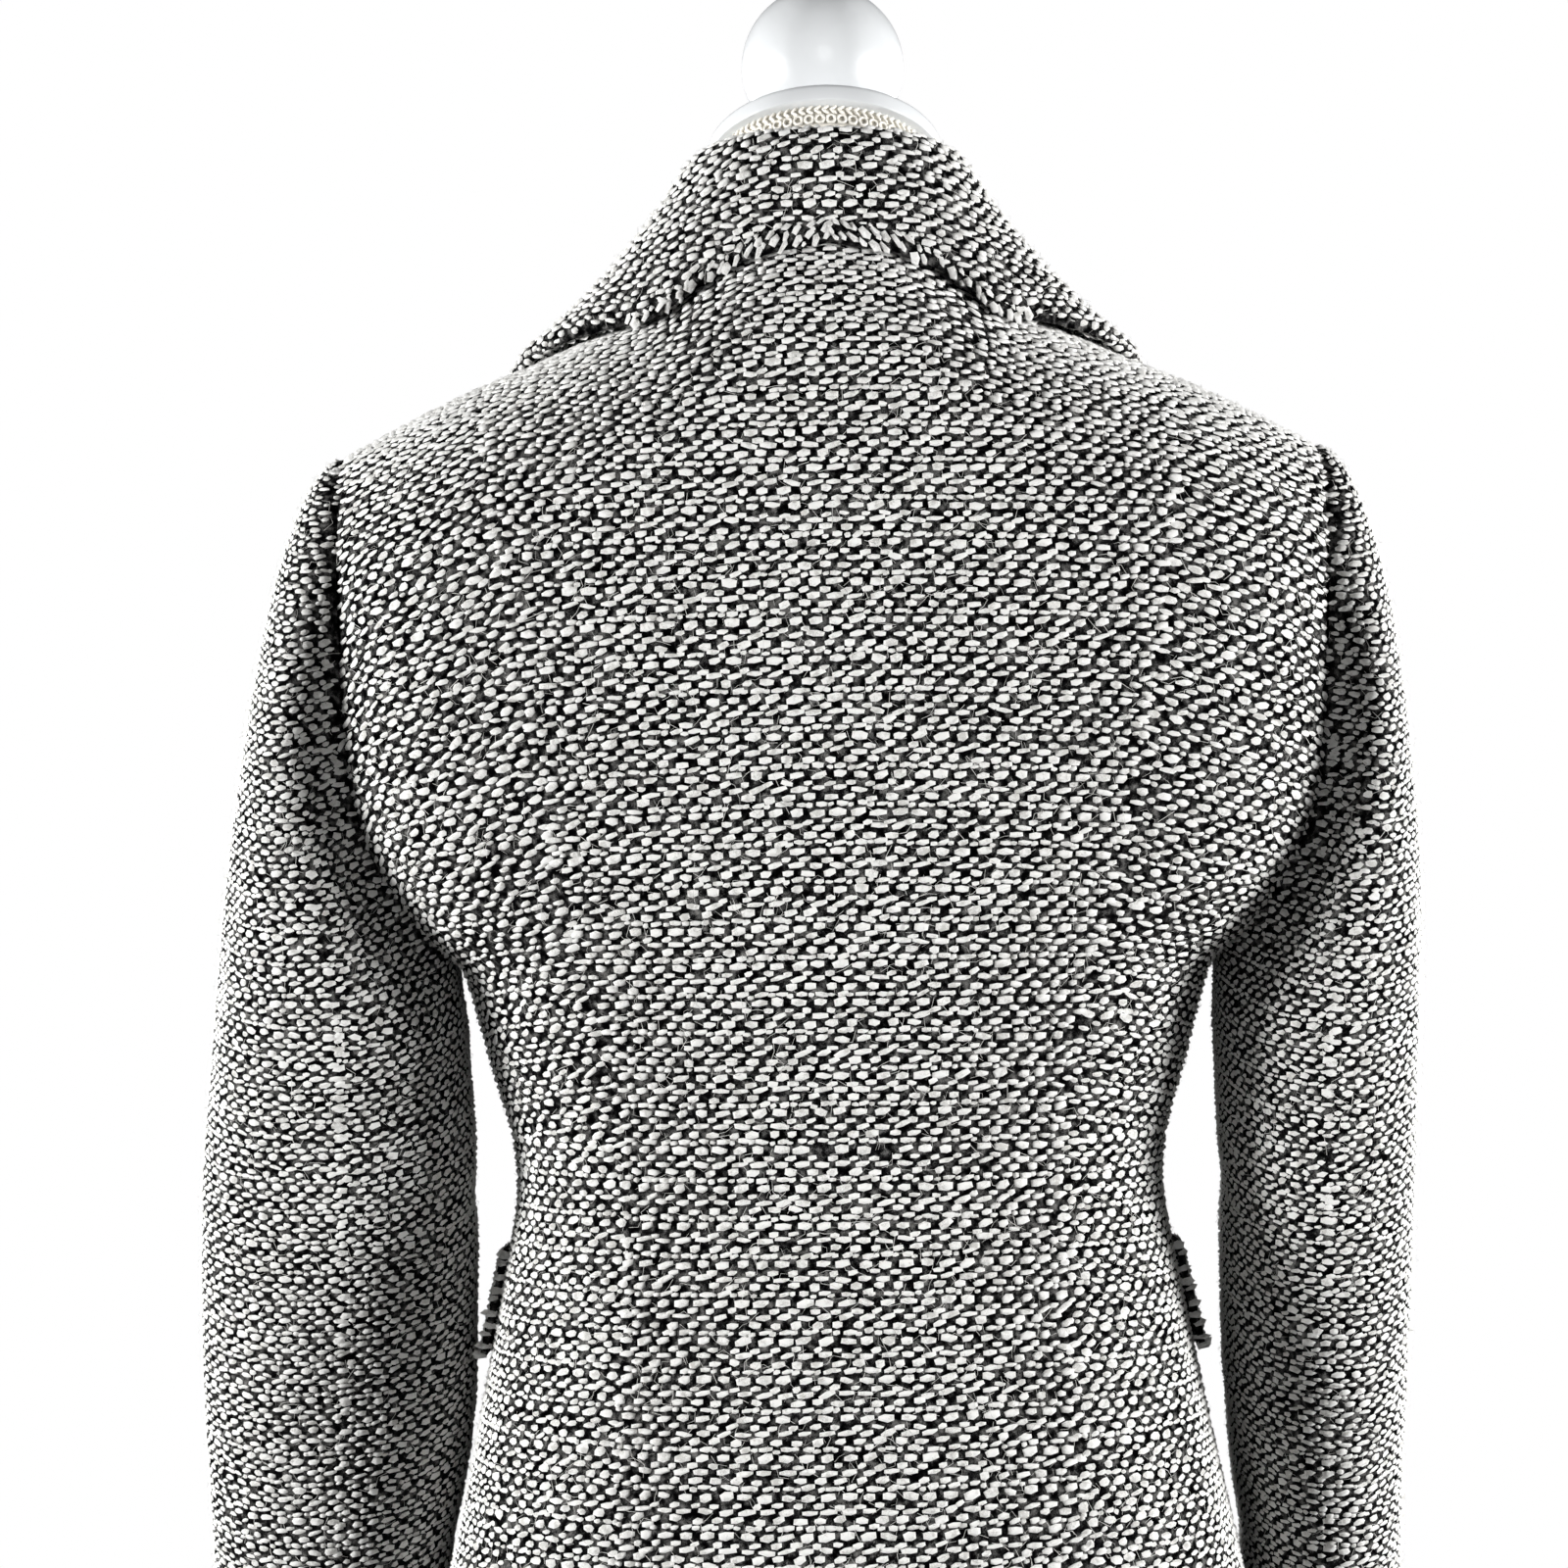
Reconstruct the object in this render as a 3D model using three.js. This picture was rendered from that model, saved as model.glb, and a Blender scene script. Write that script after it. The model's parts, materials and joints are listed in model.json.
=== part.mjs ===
// Boucle blazer on a limbless dress form, in millimetres, Z up.
// It stands on the floor, its front looks towards -Y and the wearer's left is +X.
// Heights named "up" count from the bust line, "out" is the distance from the centre line.
import * as THREE from "three";

// Cloth and seams
const CLOTH = 2.4;
const SEAM_GAP = 0.3;
const LAYER_GAP = 1.2;
const EVEN = 0.001;

// Heights of the garment
const BUST_LINE = 1180;
const WAIST_UP = -131;
const HEM_UP = -380;
const CUFF_UP = -470;
const ARMPIT_UP = -66;

// Shoulders and neck
const SHOULDER_ROUND = 65;
const SHOULDER_HALF = 198;
const SHOULDER_SQUARE = 2.5;
const NECK_POINT_OUT = 62;
const NECK_POINT_UP = 181;
const NAPE_ROUND = 31;
const NAPE_CURVE = 1.8;
const COLLAR_END_UP = 156;

// Fronts
const OVERLAP = 20;
const OVERLAP_RAMP = 34;

// Grid counts
const ARMHOLE_LOW_STEPS = 4;
const ARMHOLE_HIGH_STEPS = 6;
const ARMHOLE_STEPS = ARMHOLE_LOW_STEPS + ARMHOLE_HIGH_STEPS;
const ARMHOLE_HIGH_SHARE = 0.38;
const SIDE_SEAM_STEPS = 3;
const PEPLUM_STEPS = 5;
const BACK_COLUMNS = 14;
const SIDE_COLUMNS = 4;
const FRONT_COLUMNS = 6;

// Sections of the worn body of the blazer: half width, depth to the back, depth to the front,
// and squareness of the outline, 2 being an ellipse.
const BODY = [
  { up: -380, half: 164, back: 124, front: 128, square: 2.3 },
  { up: -298, half: 149.5, back: 115, front: 121, square: 2.3 },
  { up: -240, half: 137.5, back: 106, front: 114, square: 2.3 },
  { up: -180, half: 126, back: 93, front: 105, square: 2.3 },
  { up: -152, half: 121.5, back: 86, front: 99, square: 2.3 },
  { up: -131, half: 123.5, back: 84, front: 96, square: 2.3 },
  { up: -104, half: 131, back: 89, front: 101, square: 2.32 },
  { up: -74, half: 139, back: 95, front: 110, square: 2.36 },
  { up: -66, half: 143, back: 96.5, front: 112, square: 2.38 },
  { up: -56, half: 156, back: 98.5, front: 114, square: 2.4 },
  { up: -45, half: 167, back: 100, front: 117, square: 2.42 },
  { up: -30, half: 179, back: 102, front: 120, square: 2.46 },
  { up: -10, half: 188, back: 104.5, front: 122, square: 2.5 },
  { up: 20, half: 193, back: 107, front: 121, square: 2.5 },
  { up: 74, half: 196.5, back: 106.5, front: 108, square: 2.5 },
  { up: 112, half: 198, back: 101.5, front: 97, square: 2.5 },
  { up: 140, half: 198, back: 94, front: 89, square: 2.5 },
  { up: 165, half: 198, back: 84.5, front: 82, square: 2.5 },
  { up: 190, half: 198, back: 75, front: 77, square: 2.5 },
  { up: 222, half: 198, back: 66, front: 72, square: 2.5 },
];

// Shoulder line from the nape through the neck point to the sleeve head.
const SHOULDER = [
  { out: 0, up: 221 },
  { out: 22, up: 215.5 },
  { out: 42, up: 200 },
  { out: 62, up: 181 },
  { out: 85, up: 170.5 },
  { out: 110, up: 159.5 },
  { out: 137, up: 148.5 },
  { out: 167, up: 134 },
  { out: 194, up: 119.5 },
  { out: 200, up: 115.5 },
];

// Seams between the centre pieces and the side pieces.
const BACK_PRINCESS = [
  { up: -380, out: 94 },
  { up: -277, out: 84 },
  { up: -215, out: 81 },
  { up: -156, out: 78 },
  { up: -131, out: 79 },
  { up: -97, out: 84 },
  { up: -69, out: 90 },
  { up: -30, out: 100 },
  { up: 17, out: 108 },
  { up: 50, out: 116 },
  { up: 80, out: 120 },
  { up: 104, out: 124 },
  { up: 135, out: 127 },
  { up: 155, out: 128 },
];
const FRONT_PRINCESS = [
  { up: -380, out: 104 },
  { up: -240, out: 88 },
  { up: -131, out: 78 },
  { up: -60, out: 89 },
  { up: 10, out: 100 },
  { up: 70, out: 112 },
  { up: 120, out: 124 },
  { up: 155, out: 128 },
];

// Front edge of each front: straight to the break of the lapel, then along its roll to the neck.
const FRONT_EDGE = [
  { up: -131, out: -20 },
  { up: -60, out: -20 },
  { up: 8, out: -20 },
  { up: 60, out: 6 },
  { up: 110, out: 32 },
  { up: 156, out: 53 },
  { up: 172, out: 59 },
  { up: 181, out: 62 },
];

// Armhole by the turn round the body from the centre back, in degrees.
const ARMHOLE_BACK = [
  { step: 0, turn: 65, up: 126 },
  { step: 1, turn: 65, up: 74 },
  { step: 2, turn: 66, up: 20 },
  { step: 3, turn: 67.5, up: -19 },
  { step: 4, turn: 70.5, up: -43 },
  { step: 5, turn: 76, up: -57 },
  { step: 6, turn: 83, up: -64 },
  { step: 7, turn: 90, up: -66 },
];
const ARMHOLE_FRONT = [
  { step: 0, turn: 115, up: 126 },
  { step: 1, turn: 121, up: 74 },
  { step: 2, turn: 123, up: 20 },
  { step: 3, turn: 119.5, up: -19 },
  { step: 4, turn: 112, up: -43 },
  { step: 5, turn: 104, up: -57 },
  { step: 6, turn: 97, up: -64 },
  { step: 7, turn: 90, up: -66 },
];

// Sleeve sections below the armpit: inner and outer side of each sleeve as it hangs,
// the place of its middle from front to back, and the girth that the sleeve was cut to.
const SLEEVES = {
  left: [
    { up: -90, inner: 141, outer: 236, deep: 0, girth: 344 },
    { up: -150, inner: 138.5, outer: 242, deep: -5, girth: 326 },
    { up: -200, inner: 140, outer: 244, deep: -12, girth: 312 },
    { up: -240, inner: 142, outer: 244.5, deep: -20, girth: 304 },
    { up: -298, inner: 152, outer: 243.5, deep: -33, girth: 292 },
    { up: -380, inner: 161.5, outer: 241.5, deep: -52, girth: 276 },
    { up: -470, inner: 166, outer: 239, deep: -70, girth: 262 },
  ],
  right: [
    { up: -90, inner: 143.5, outer: 220, deep: 0, girth: 344 },
    { up: -150, inner: 145.5, outer: 217.5, deep: -5, girth: 326 },
    { up: -200, inner: 146.5, outer: 216.5, deep: -13, girth: 312 },
    { up: -240, inner: 148.5, outer: 215.5, deep: -22, girth: 304 },
    { up: -298, inner: 155, outer: 215, deep: -38, girth: 292 },
    { up: -380, inner: 161.5, outer: 216, deep: -58, girth: 276 },
    { up: -470, inner: 164, outer: 217, deep: -78, girth: 262 },
  ],
};
const SLEEVE_SQUARE = 2.15;
const CAP_OUT = 28;
const CAP_ASIDE = 6;
const CAP_REACH = { low: 0.12, high: 0.6 };
const SLEEVE_CAP_STEPS = 5;
const SLEEVE_FALL_STEPS = 7;
const SLEEVE_BACK_SEAM = 7;
const SLEEVE_FRONT_SEAM = 12;

// Collar from the centre back to its front end: top of the fold, and the outer edge by its
// distance out, how far it lies over the shoulder (1 is the ridge) and how far it stands off.
const COLLAR = [
  { step: 0, foldOut: 0, foldDeep: 43.5, foldUp: 237, out: 0, over: 0.52, lift: 9, seat: 0 },
  { step: 1, foldOut: 23, foldDeep: 38, foldUp: 236.5, out: 34, over: 0.54, lift: 8.5, seat: 0.45 },
  { step: 2, foldOut: 39.5, foldDeep: 22.5, foldUp: 233, out: 66, over: 0.66, lift: 8, seat: 0.8 },
  { step: 3, foldOut: 46.5, foldDeep: -2, foldUp: 225, out: 93, over: 0.84, lift: 7, seat: 1 },
  { step: 4, foldOut: 49, foldDeep: -27, foldUp: 210, out: 110, over: 1.03, lift: 6.5, seat: 1.12 },
  { step: 5, foldOut: 50.5, foldDeep: -49, foldUp: 192, out: 118, over: 1.24, lift: 6, seat: 1.42 },
  { step: 6, foldOut: 52, foldDeep: -66, foldUp: 173, out: 112, over: 1.42, lift: 5.5, seat: 1.85 },
];
const COLLAR_FOLD_RADIUS = 4.2;
const COLLAR_COLUMNS = 10;
const COLLAR_STAND_STEPS = 2;
const COLLAR_FOLD_STEPS = 4;
const COLLAR_FALL_STEPS = 4;
const COLLAR_SEAT_LIFT = 0.6;

// Lapel from the break up to the gorge: height on the roll, then height and place of its edge.
const LAPEL = [
  { step: 0, rollUp: 14, edgeUp: 20, edgeOut: -8 },
  { step: 1, rollUp: 50, edgeUp: 56, edgeOut: 34 },
  { step: 2, rollUp: 90, edgeUp: 90, edgeOut: 74 },
  { step: 3, rollUp: 125, edgeUp: 114, edgeOut: 100 },
  { step: 4, rollUp: 148, edgeUp: 124, edgeOut: 112 },
];
const LAPEL_START = { left: 1.2, right: 0 };
const LAPEL_COLUMNS = 5;
const LAPEL_STEPS = 7;
const LAPEL_LIFT = 3;

// Pocket flap on the peplum, by the turn round the body in degrees.
const FLAP = { top: -176, bottom: -216, from: 84, to: 134, corner: 9, flare: 1.5 };
const FLAP_COLUMNS = 6;
const FLAP_STEPS = 4;

// Buttons down the front
const BUTTON = { radius: 11, thick: 4, rim: 1.6, dish: 1.2, edge: 1, sides: 20 };
const BUTTONS = [
  { up: -10, lift: -0.3 },
  { up: -70, lift: 0.05 },
  { up: -118, lift: 1.5 },
];

// Dress form under the cloth: its own half width and its clearance inside the cloth.
const FORM_BODY = [
  { up: -460, half: 148, clear: 24 },
  { up: -380, half: 145, clear: 22 },
  { up: -298, half: 136, clear: 12 },
  { up: -240, half: 130, clear: 8 },
  { up: -180, half: 119, clear: 6 },
  { up: -140, half: 114, clear: 6 },
  { up: -104, half: 120, clear: 8 },
  { up: -74, half: 128, clear: 9 },
  { up: -40, half: 140, clear: 8 },
  { up: 0, half: 151, clear: 6.5 },
  { up: 40, half: 160, clear: 6 },
  { up: 80, half: 166, clear: 5 },
  { up: 110, half: 168, clear: 4.3 },
  { up: 200, half: 168, clear: 3.8 },
];
const FORM_FRONT_CLEAR = 3;
const FORM_LEVELS = [
  -460, -420, -380, -340, -298, -265, -232, -200, -165, -140, -115, -90, -60, -25, 10, 45, 75, 100,
  120, 135, 148, 160, 170, 178,
];
const FORM_SIDES = 28;
const FORM_SHARP = 10;
const SHOULDER_REST = 2.1;
const NECK_TILT = 25;
const NECK = [
  { up: 187, deep: -1, radius: 50, tilt: 4 },
  { up: 197, deep: -1, radius: 44.5, tilt: 10 },
  { up: 208, deep: -0.6, radius: 42, tilt: 18 },
  { up: 220.8, deep: 1.15, radius: 41, tilt: 25 },
  { up: 234, deep: -5, radius: 41, tilt: 25 },
];
const NECK_FILLET = { radius: 47, up: 200, spread: 0.036 };
const BRAID = { height: 9, thick: 1.6, below: 0.5 };
const PLATE = { radius: 43.5, thick: 8, bevel: 3, edge: 1 };
const FINIAL = { stem: 13, ball: 30.3, height: 38, steps: 12 };
const POLE_RADIUS = 16;
const BASE = { radius: 180, thick: 14, crown: 12, crownRadius: 70, boss: 30, bossUp: 44, rim: 8, edge: 3 };
const ROUND_SIDES = 32;

const COLOURS = {
  cloth: { color: 0x8f8e8b, roughness: 0.95, metalness: 0 },
  button: { color: 0x222120, roughness: 0.45, metalness: 0 },
  form: { color: 0xe9e3d6, roughness: 0.9, metalness: 0 },
  braid: { color: 0xe6dcc4, roughness: 0.8, metalness: 0 },
  paint: { color: 0xf2f2f0, roughness: 0.2, metalness: 0 },
};

const radians = THREE.MathUtils.degToRad;
const lerp = THREE.MathUtils.lerp;
const vec = (x, y, z) => new THREE.Vector3(x, y, z);

// A smooth curve through the rows of a table: gives every column at a value of the key column.
function through(rows, key) {
  const columns = Object.keys(rows[0]).filter((name) => name !== key);
  const slope = (i, name) => {
    const a = rows[Math.max(i - 1, 0)];
    const b = rows[Math.min(i + 1, rows.length - 1)];
    return (b[name] - a[name]) / (b[key] - a[key]);
  };
  return (value) => {
    const at = THREE.MathUtils.clamp(value, rows[0][key], rows[rows.length - 1][key]);
    let i = 0;
    while (i < rows.length - 2 && at > rows[i + 1][key]) i += 1;
    const span = rows[i + 1][key] - rows[i][key];
    const t = (at - rows[i][key]) / span;
    const found = {};
    for (const name of columns) {
      const start = rows[i][name];
      const end = rows[i + 1][name];
      const ease = t * t * (3 - 2 * t);
      const leave = t * (1 - t) * (1 - t) * span * slope(i, name);
      const arrive = t * t * (1 - t) * span * slope(i + 1, name);
      found[name] = start + (end - start) * ease + leave - arrive;
    }
    return found;
  };
}

const bodyAt = through(BODY, "up");
const shoulderAt = through(SHOULDER, "out");

const signedPower = (value, power) => Math.sign(value) * Math.abs(value) ** power;

// Height of the shoulder line at a turn round the body; inside the neck it rises to the nape.
function ridgeUp(turn) {
  return shoulderAt(SHOULDER_HALF * Math.abs(Math.sin(radians(turn))) ** (2 / SHOULDER_SQUARE)).up;
}

// Outer face of the worn cloth. "turn" runs from 0 at the centre back through 90 at the side to
// 180 at the centre front; "rise" counts from where the cloth starts to round over the shoulder,
// up to SHOULDER_ROUND on the shoulder line.
function onBody(turn, rise) {
  const start = ridgeUp(turn) - SHOULDER_ROUND;
  const lean = Math.max(rise, 0) / SHOULDER_ROUND * Math.PI / 2;
  const up = rise > 0 ? start + SHOULDER_ROUND * Math.sin(lean) : start + rise;
  const s = bodyAt(up);
  const power = 2 / s.square;
  const cos = Math.cos(radians(turn));
  const depth = cos > 0 ? s.back : s.front;
  return vec(
    s.half * signedPower(Math.sin(radians(turn)), power),
    depth * signedPower(cos, power) * Math.cos(lean),
    BUST_LINE + up,
  );
}

// The rise at a height, for a turn.
function riseAt(turn, up) {
  const above = up - ridgeUp(turn) + SHOULDER_ROUND;
  if (above <= 0) return above;
  return Math.asin(Math.min(above / SHOULDER_ROUND, 1)) / (Math.PI / 2) * SHOULDER_ROUND;
}

// The turn at a distance from the centre line, at a height, on the back or on the front.
function turnAt(out, up, front) {
  const s = bodyAt(up);
  const turn = Math.asin(Math.min(Math.abs(out) / s.half, 1) ** (s.square / 2)) * 180 / Math.PI;
  return front ? 180 - Math.sign(out || 1) * turn : Math.sign(out || 1) * turn;
}

// Outward direction of the worn cloth.
function bodyNormal(turn, rise) {
  const round = onBody(turn + 0.6, rise).sub(onBody(turn - 0.6, rise));
  const climb = onBody(turn, Math.min(rise + 0.6, SHOULDER_ROUND)).sub(onBody(turn, rise - 0.6));
  return climb.cross(round).normalize();
}

// A point on the body with its outward direction, moved off the cloth by a lift.
function spot(turn, rise, lift = 0) {
  const normal = bodyNormal(turn, rise);
  return { point: onBody(turn, rise).addScaledVector(normal, lift), inward: normal.negate() };
}

// A closed wall of cloth from rows of spots: outer face, inner face and the four rims. Each
// square of the grid is cut along its shorter diagonal, on both faces alike.
function clothWall(rows, thickness = CLOTH) {
  const tall = rows.length;
  const wide = rows[0].length;
  const points = [];
  for (const row of rows) for (const at of row) points.push(at.point);
  for (const row of rows) {
    for (const at of row) points.push(at.point.clone().addScaledVector(at.inward, thickness));
  }
  const index = [];
  const quad = (a, b, c, d) => index.push(a, b, c, a, c, d);
  const inner = tall * wide;
  const id = (j, i) => j * wide + i;
  for (let j = 0; j < tall - 1; j += 1) {
    for (let i = 0; i < wide - 1; i += 1) {
      const corners = [id(j, i), id(j, i + 1), id(j + 1, i + 1), id(j + 1, i)];
      const across = (k) => points[corners[k]].distanceTo(points[corners[k + 2]]);
      if (across(1) < across(0) - EVEN) corners.push(corners.shift());
      const [a, b, c, d] = corners;
      quad(a, b, c, d);
      quad(inner + a, inner + d, inner + c, inner + b);
    }
    quad(id(j, 0), id(j + 1, 0), inner + id(j + 1, 0), inner + id(j, 0));
    const last = wide - 1;
    quad(id(j, last), inner + id(j, last), inner + id(j + 1, last), id(j + 1, last));
  }
  for (let i = 0; i < wide - 1; i += 1) {
    quad(id(0, i + 1), id(0, i), inner + id(0, i), inner + id(0, i + 1));
    const last = tall - 1;
    quad(id(last, i + 1), inner + id(last, i + 1), inner + id(last, i), id(last, i));
  }
  return facingOut(points, index);
}

// Geometry of a closed body, turned so that its faces point outwards.
function facingOut(points, index) {
  let volume = 0;
  for (let k = 0; k < index.length; k += 3) {
    const [a, b, c] = [points[index[k]], points[index[k + 1]], points[index[k + 2]]];
    volume += a.dot(b.clone().cross(c));
  }
  if (volume < 0) index.reverse();
  const geometry = new THREE.BufferGeometry().setFromPoints(points);
  geometry.setIndex(index);
  return geometry;
}

// Each border of a piece is drawn in by half the seam gap, so that sewn pieces stay parted.
function drawnIn(rows) {
  const tall = rows.length - 1;
  const wide = rows[0].length - 1;
  const at = (j, i) => {
    const row = rows[Math.min(Math.max(j, 0), tall)];
    return row[Math.min(Math.max(i, 0), wide)].point;
  };
  const moves = rows.map((row) => row.map(() => vec(0, 0, 0)));
  const draw = (j, i, dj, di) => {
    const seam = at(j + di, i + dj).clone().sub(at(j - di, i - dj)).normalize();
    const away = at(j + dj, i + di).clone().sub(at(j, i));
    away.addScaledVector(seam, -away.dot(seam)).setLength(SEAM_GAP / 2);
    moves[j][i].add(away);
  };
  for (let j = 0; j <= tall; j += 1) {
    draw(j, 0, 0, 1);
    draw(j, wide, 0, -1);
  }
  for (let i = 0; i <= wide; i += 1) {
    draw(0, i, 1, 0);
    draw(tall, i, -1, 0);
  }
  return rows.map((row, j) =>
    row.map((at, i) => ({ point: at.point.clone().add(moves[j][i]), inward: at.inward })),
  );
}

// Part of the way from the waist seam to the shoulder line, and back to a rise.
const waistRise = (turn) => riseAt(turn, WAIST_UP);
function shareOf({ turn, rise }) {
  const waist = waistRise(turn);
  return (rise - waist) / (SHOULDER_ROUND - waist);
}
const riseOf = (turn, share) => lerp(waistRise(turn), SHOULDER_ROUND, share);

// A row of places, each a turn and a rise, between two ends.
function placesBetween(left, right, columns) {
  return Array.from({ length: columns + 1 }, (_, i) => {
    const turn = lerp(left.turn, right.turn, i / columns);
    const share = lerp(shareOf(left), shareOf(right), i / columns);
    return { turn, rise: riseOf(turn, share) };
  });
}

// A place on the body from its height and distance out.
function placeAt(out, up, front) {
  const turn = turnAt(out, up, front);
  return { turn, rise: riseAt(turn, up) };
}

// Places on a curve on the body at the given shares of its length.
function placesAlong(placeOf, shares) {
  const fine = 240;
  const lengths = [0];
  for (let k = 1; k <= fine; k += 1) {
    const a = placeOf((k - 1) / fine);
    const b = placeOf(k / fine);
    lengths.push(lengths[k - 1] + onBody(a.turn, a.rise).distanceTo(onBody(b.turn, b.rise)));
  }
  return shares.map((share) => {
    const want = lengths[fine] * share;
    let k = 1;
    while (k < fine && lengths[k] < want) k += 1;
    const part = (want - lengths[k - 1]) / (lengths[k] - lengths[k - 1]);
    return placeOf((k - 1 + part) / fine);
  });
}

// Shares of the length of half an armhole, closer together where it rounds over the shoulder.
const armholeShares = Array.from({ length: ARMHOLE_STEPS + 1 }, (_, j) =>
  j < ARMHOLE_HIGH_STEPS
    ? j / ARMHOLE_HIGH_STEPS * ARMHOLE_HIGH_SHARE
    : lerp(ARMHOLE_HIGH_SHARE, 1, (j - ARMHOLE_HIGH_STEPS) / ARMHOLE_LOW_STEPS),
);

// The armhole from the shoulder tip down to the armpit, on the back or on the front.
function armhole(front) {
  const rows = front ? ARMHOLE_FRONT : ARMHOLE_BACK;
  const at = through(rows, "step");
  const last = rows.length - 1;
  return placesAlong((part) => {
    const row = at(part * last);
    return { turn: row.turn, rise: riseAt(row.turn, row.up) };
  }, armholeShares);
}

const armholes = { back: armhole(false), front: armhole(true) };

// The loop of the armhole: down the back to the armpit, then up the front.
const armholeLoop = [...armholes.back, ...[...armholes.front].reverse().slice(1)];

// Heights of the rows of the bodice, given on a princess seam.
function princessPlaces(rows, front) {
  const at = through(rows, "up");
  const topOut = rows[rows.length - 1].out;
  const topTurn = turnAt(topOut, shoulderAt(topOut).up, front);
  const low = placeAt(at(WAIST_UP).out, WAIST_UP, front);
  const mid = placeAt(at(ARMPIT_UP).out, ARMPIT_UP, front);
  const places = [];
  for (let j = 0; j <= SIDE_SEAM_STEPS; j += 1) {
    const up = lerp(WAIST_UP, ARMPIT_UP, j / SIDE_SEAM_STEPS);
    places.push(placeAt(at(up).out, up, front));
  }
  for (let j = 1; j <= ARMHOLE_STEPS; j += 1) {
    const rise =
      j <= ARMHOLE_LOW_STEPS
        ? lerp(mid.rise, 0, j / ARMHOLE_LOW_STEPS)
        : SHOULDER_ROUND * (j - ARMHOLE_LOW_STEPS) / ARMHOLE_HIGH_STEPS;
    let turn = lerp(mid.turn, topTurn, j / ARMHOLE_STEPS);
    for (let pass = 0; pass < 8 && j < ARMHOLE_STEPS; pass += 1) {
      const up = onBody(turn, rise).z - BUST_LINE;
      turn = turnAt(at(up).out, up, front);
    }
    places.push({ turn, rise });
  }
  places[0] = low;
  return places;
}

const princess = {
  back: princessPlaces(BACK_PRINCESS, false),
  front: princessPlaces(FRONT_PRINCESS, true),
};

const mirrored = (place, side) => ({ turn: place.turn * side, rise: place.rise });

// Direction from the seam of the armhole into the cloth, shared by the bodice and the sleeve.
function armholeInward(place) {
  const body = bodyNormal(place.turn, place.rise);
  const under = THREE.MathUtils.smoothstep(-onBody(place.turn, place.rise).z + BUST_LINE, -40, 60);
  return body.negate().lerp(vec(0, 0, 1), under).normalize();
}

// Back centre of the bodice, in one piece from seam to seam and from the waist to the neck.
function backCentre() {
  const neckTurn = turnAt(NECK_POINT_OUT, NECK_POINT_UP, false);
  const top = (turn) => {
    const part = Math.min(Math.abs(turn) / neckTurn, 1);
    return lerp(NAPE_ROUND, SHOULDER_ROUND, part ** NAPE_CURVE);
  };
  const topEdge = princess.back[princess.back.length - 1];
  return princess.back.map((edge) =>
    Array.from({ length: BACK_COLUMNS + 1 }, (_, i) => {
      const across = i / BACK_COLUMNS * 2 - 1;
      const turn = edge.turn * across;
      const topTurn = topEdge.turn * across;
      return spot(turn, riseOf(turn, shareOf(edge) * shareOf({ turn: topTurn, rise: top(topTurn) })));
    }),
  );
}

// The far edge of a side piece: up the side seam, then round the armhole to the shoulder tip.
function sideEdge(half) {
  const places = [];
  for (let j = 0; j < SIDE_SEAM_STEPS; j += 1) {
    const up = lerp(WAIST_UP, ARMPIT_UP, j / SIDE_SEAM_STEPS);
    places.push({ turn: 90, rise: riseAt(90, up) });
  }
  return [...places, ...[...half].reverse()];
}

// Side piece of the bodice, between a princess seam and the side seam.
function sidePiece(front, side) {
  const edge = sideEdge(front ? armholes.front : armholes.back);
  const seam = front ? princess.front : princess.back;
  return seam.map((place, j) => {
    const row = placesBetween(place, edge[j], SIDE_COLUMNS);
    return row.map((at, i) => {
      const found = spot(at.turn * side, at.rise);
      if (i === SIDE_COLUMNS && j >= SIDE_SEAM_STEPS) {
        found.inward = armholeInward(mirrored(at, side));
      }
      return found;
    });
  });
}

// The right front laps over the left one, so it stands off by a layer near the centre.
function lapLift(turn, side) {
  if (side > 0) return 0;
  const out = SHOULDER_HALF * Math.sin(radians(180 - turn));
  const near = 1 - THREE.MathUtils.smoothstep(out, OVERLAP + 4, OVERLAP + 4 + OVERLAP_RAMP);
  return (CLOTH + LAYER_GAP) * near;
}

// Front piece of the bodice, from the princess seam to the front edge and the roll of the lapel.
function frontPiece(side) {
  const at = through(FRONT_EDGE, "up");
  const last = FRONT_EDGE[FRONT_EDGE.length - 1];
  const lowSteps = SIDE_SEAM_STEPS + ARMHOLE_LOW_STEPS;
  const roundFrom = last.up - SHOULDER_ROUND;
  return princess.front.map((seam, j) => {
    const high = (j - lowSteps) / ARMHOLE_HIGH_STEPS;
    const up = high > 0
      ? roundFrom + SHOULDER_ROUND * Math.sin(high * Math.PI / 2)
      : lerp(WAIST_UP, roundFrom, j / lowSteps);
    const edge = placeAt(at(up).out, up, true);
    if (high === 1) edge.rise = SHOULDER_ROUND;
    return placesBetween(seam, edge, FRONT_COLUMNS).map((place) =>
      spot(place.turn * side, place.rise, lapLift(place.turn, side)),
    );
  });
}

// A piece of the peplum between two seams, each given by its distance out at a height.
function peplumPiece(leftAt, rightAt, columns, side, lift = () => 0) {
  return Array.from({ length: PEPLUM_STEPS + 1 }, (_, j) => {
    const up = lerp(HEM_UP, WAIST_UP, j / PEPLUM_STEPS);
    const row = placesBetween(leftAt(up), rightAt(up), columns);
    return row.map((place) => {
      const rise = riseAt(place.turn, up);
      return spot(place.turn * side, rise, lift(place.turn));
    });
  });
}

const seamPlace = (rows, front) => {
  const at = through(rows, "up");
  return (up) => placeAt(at(up).out, up, front);
};
const backSeam = seamPlace(BACK_PRINCESS, false);
const frontSeam = seamPlace(FRONT_PRINCESS, true);
const sideSeam = (up) => ({ turn: 90, rise: riseAt(90, up) });
const frontEdge = (up) => placeAt(-OVERLAP, up, true);

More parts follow.
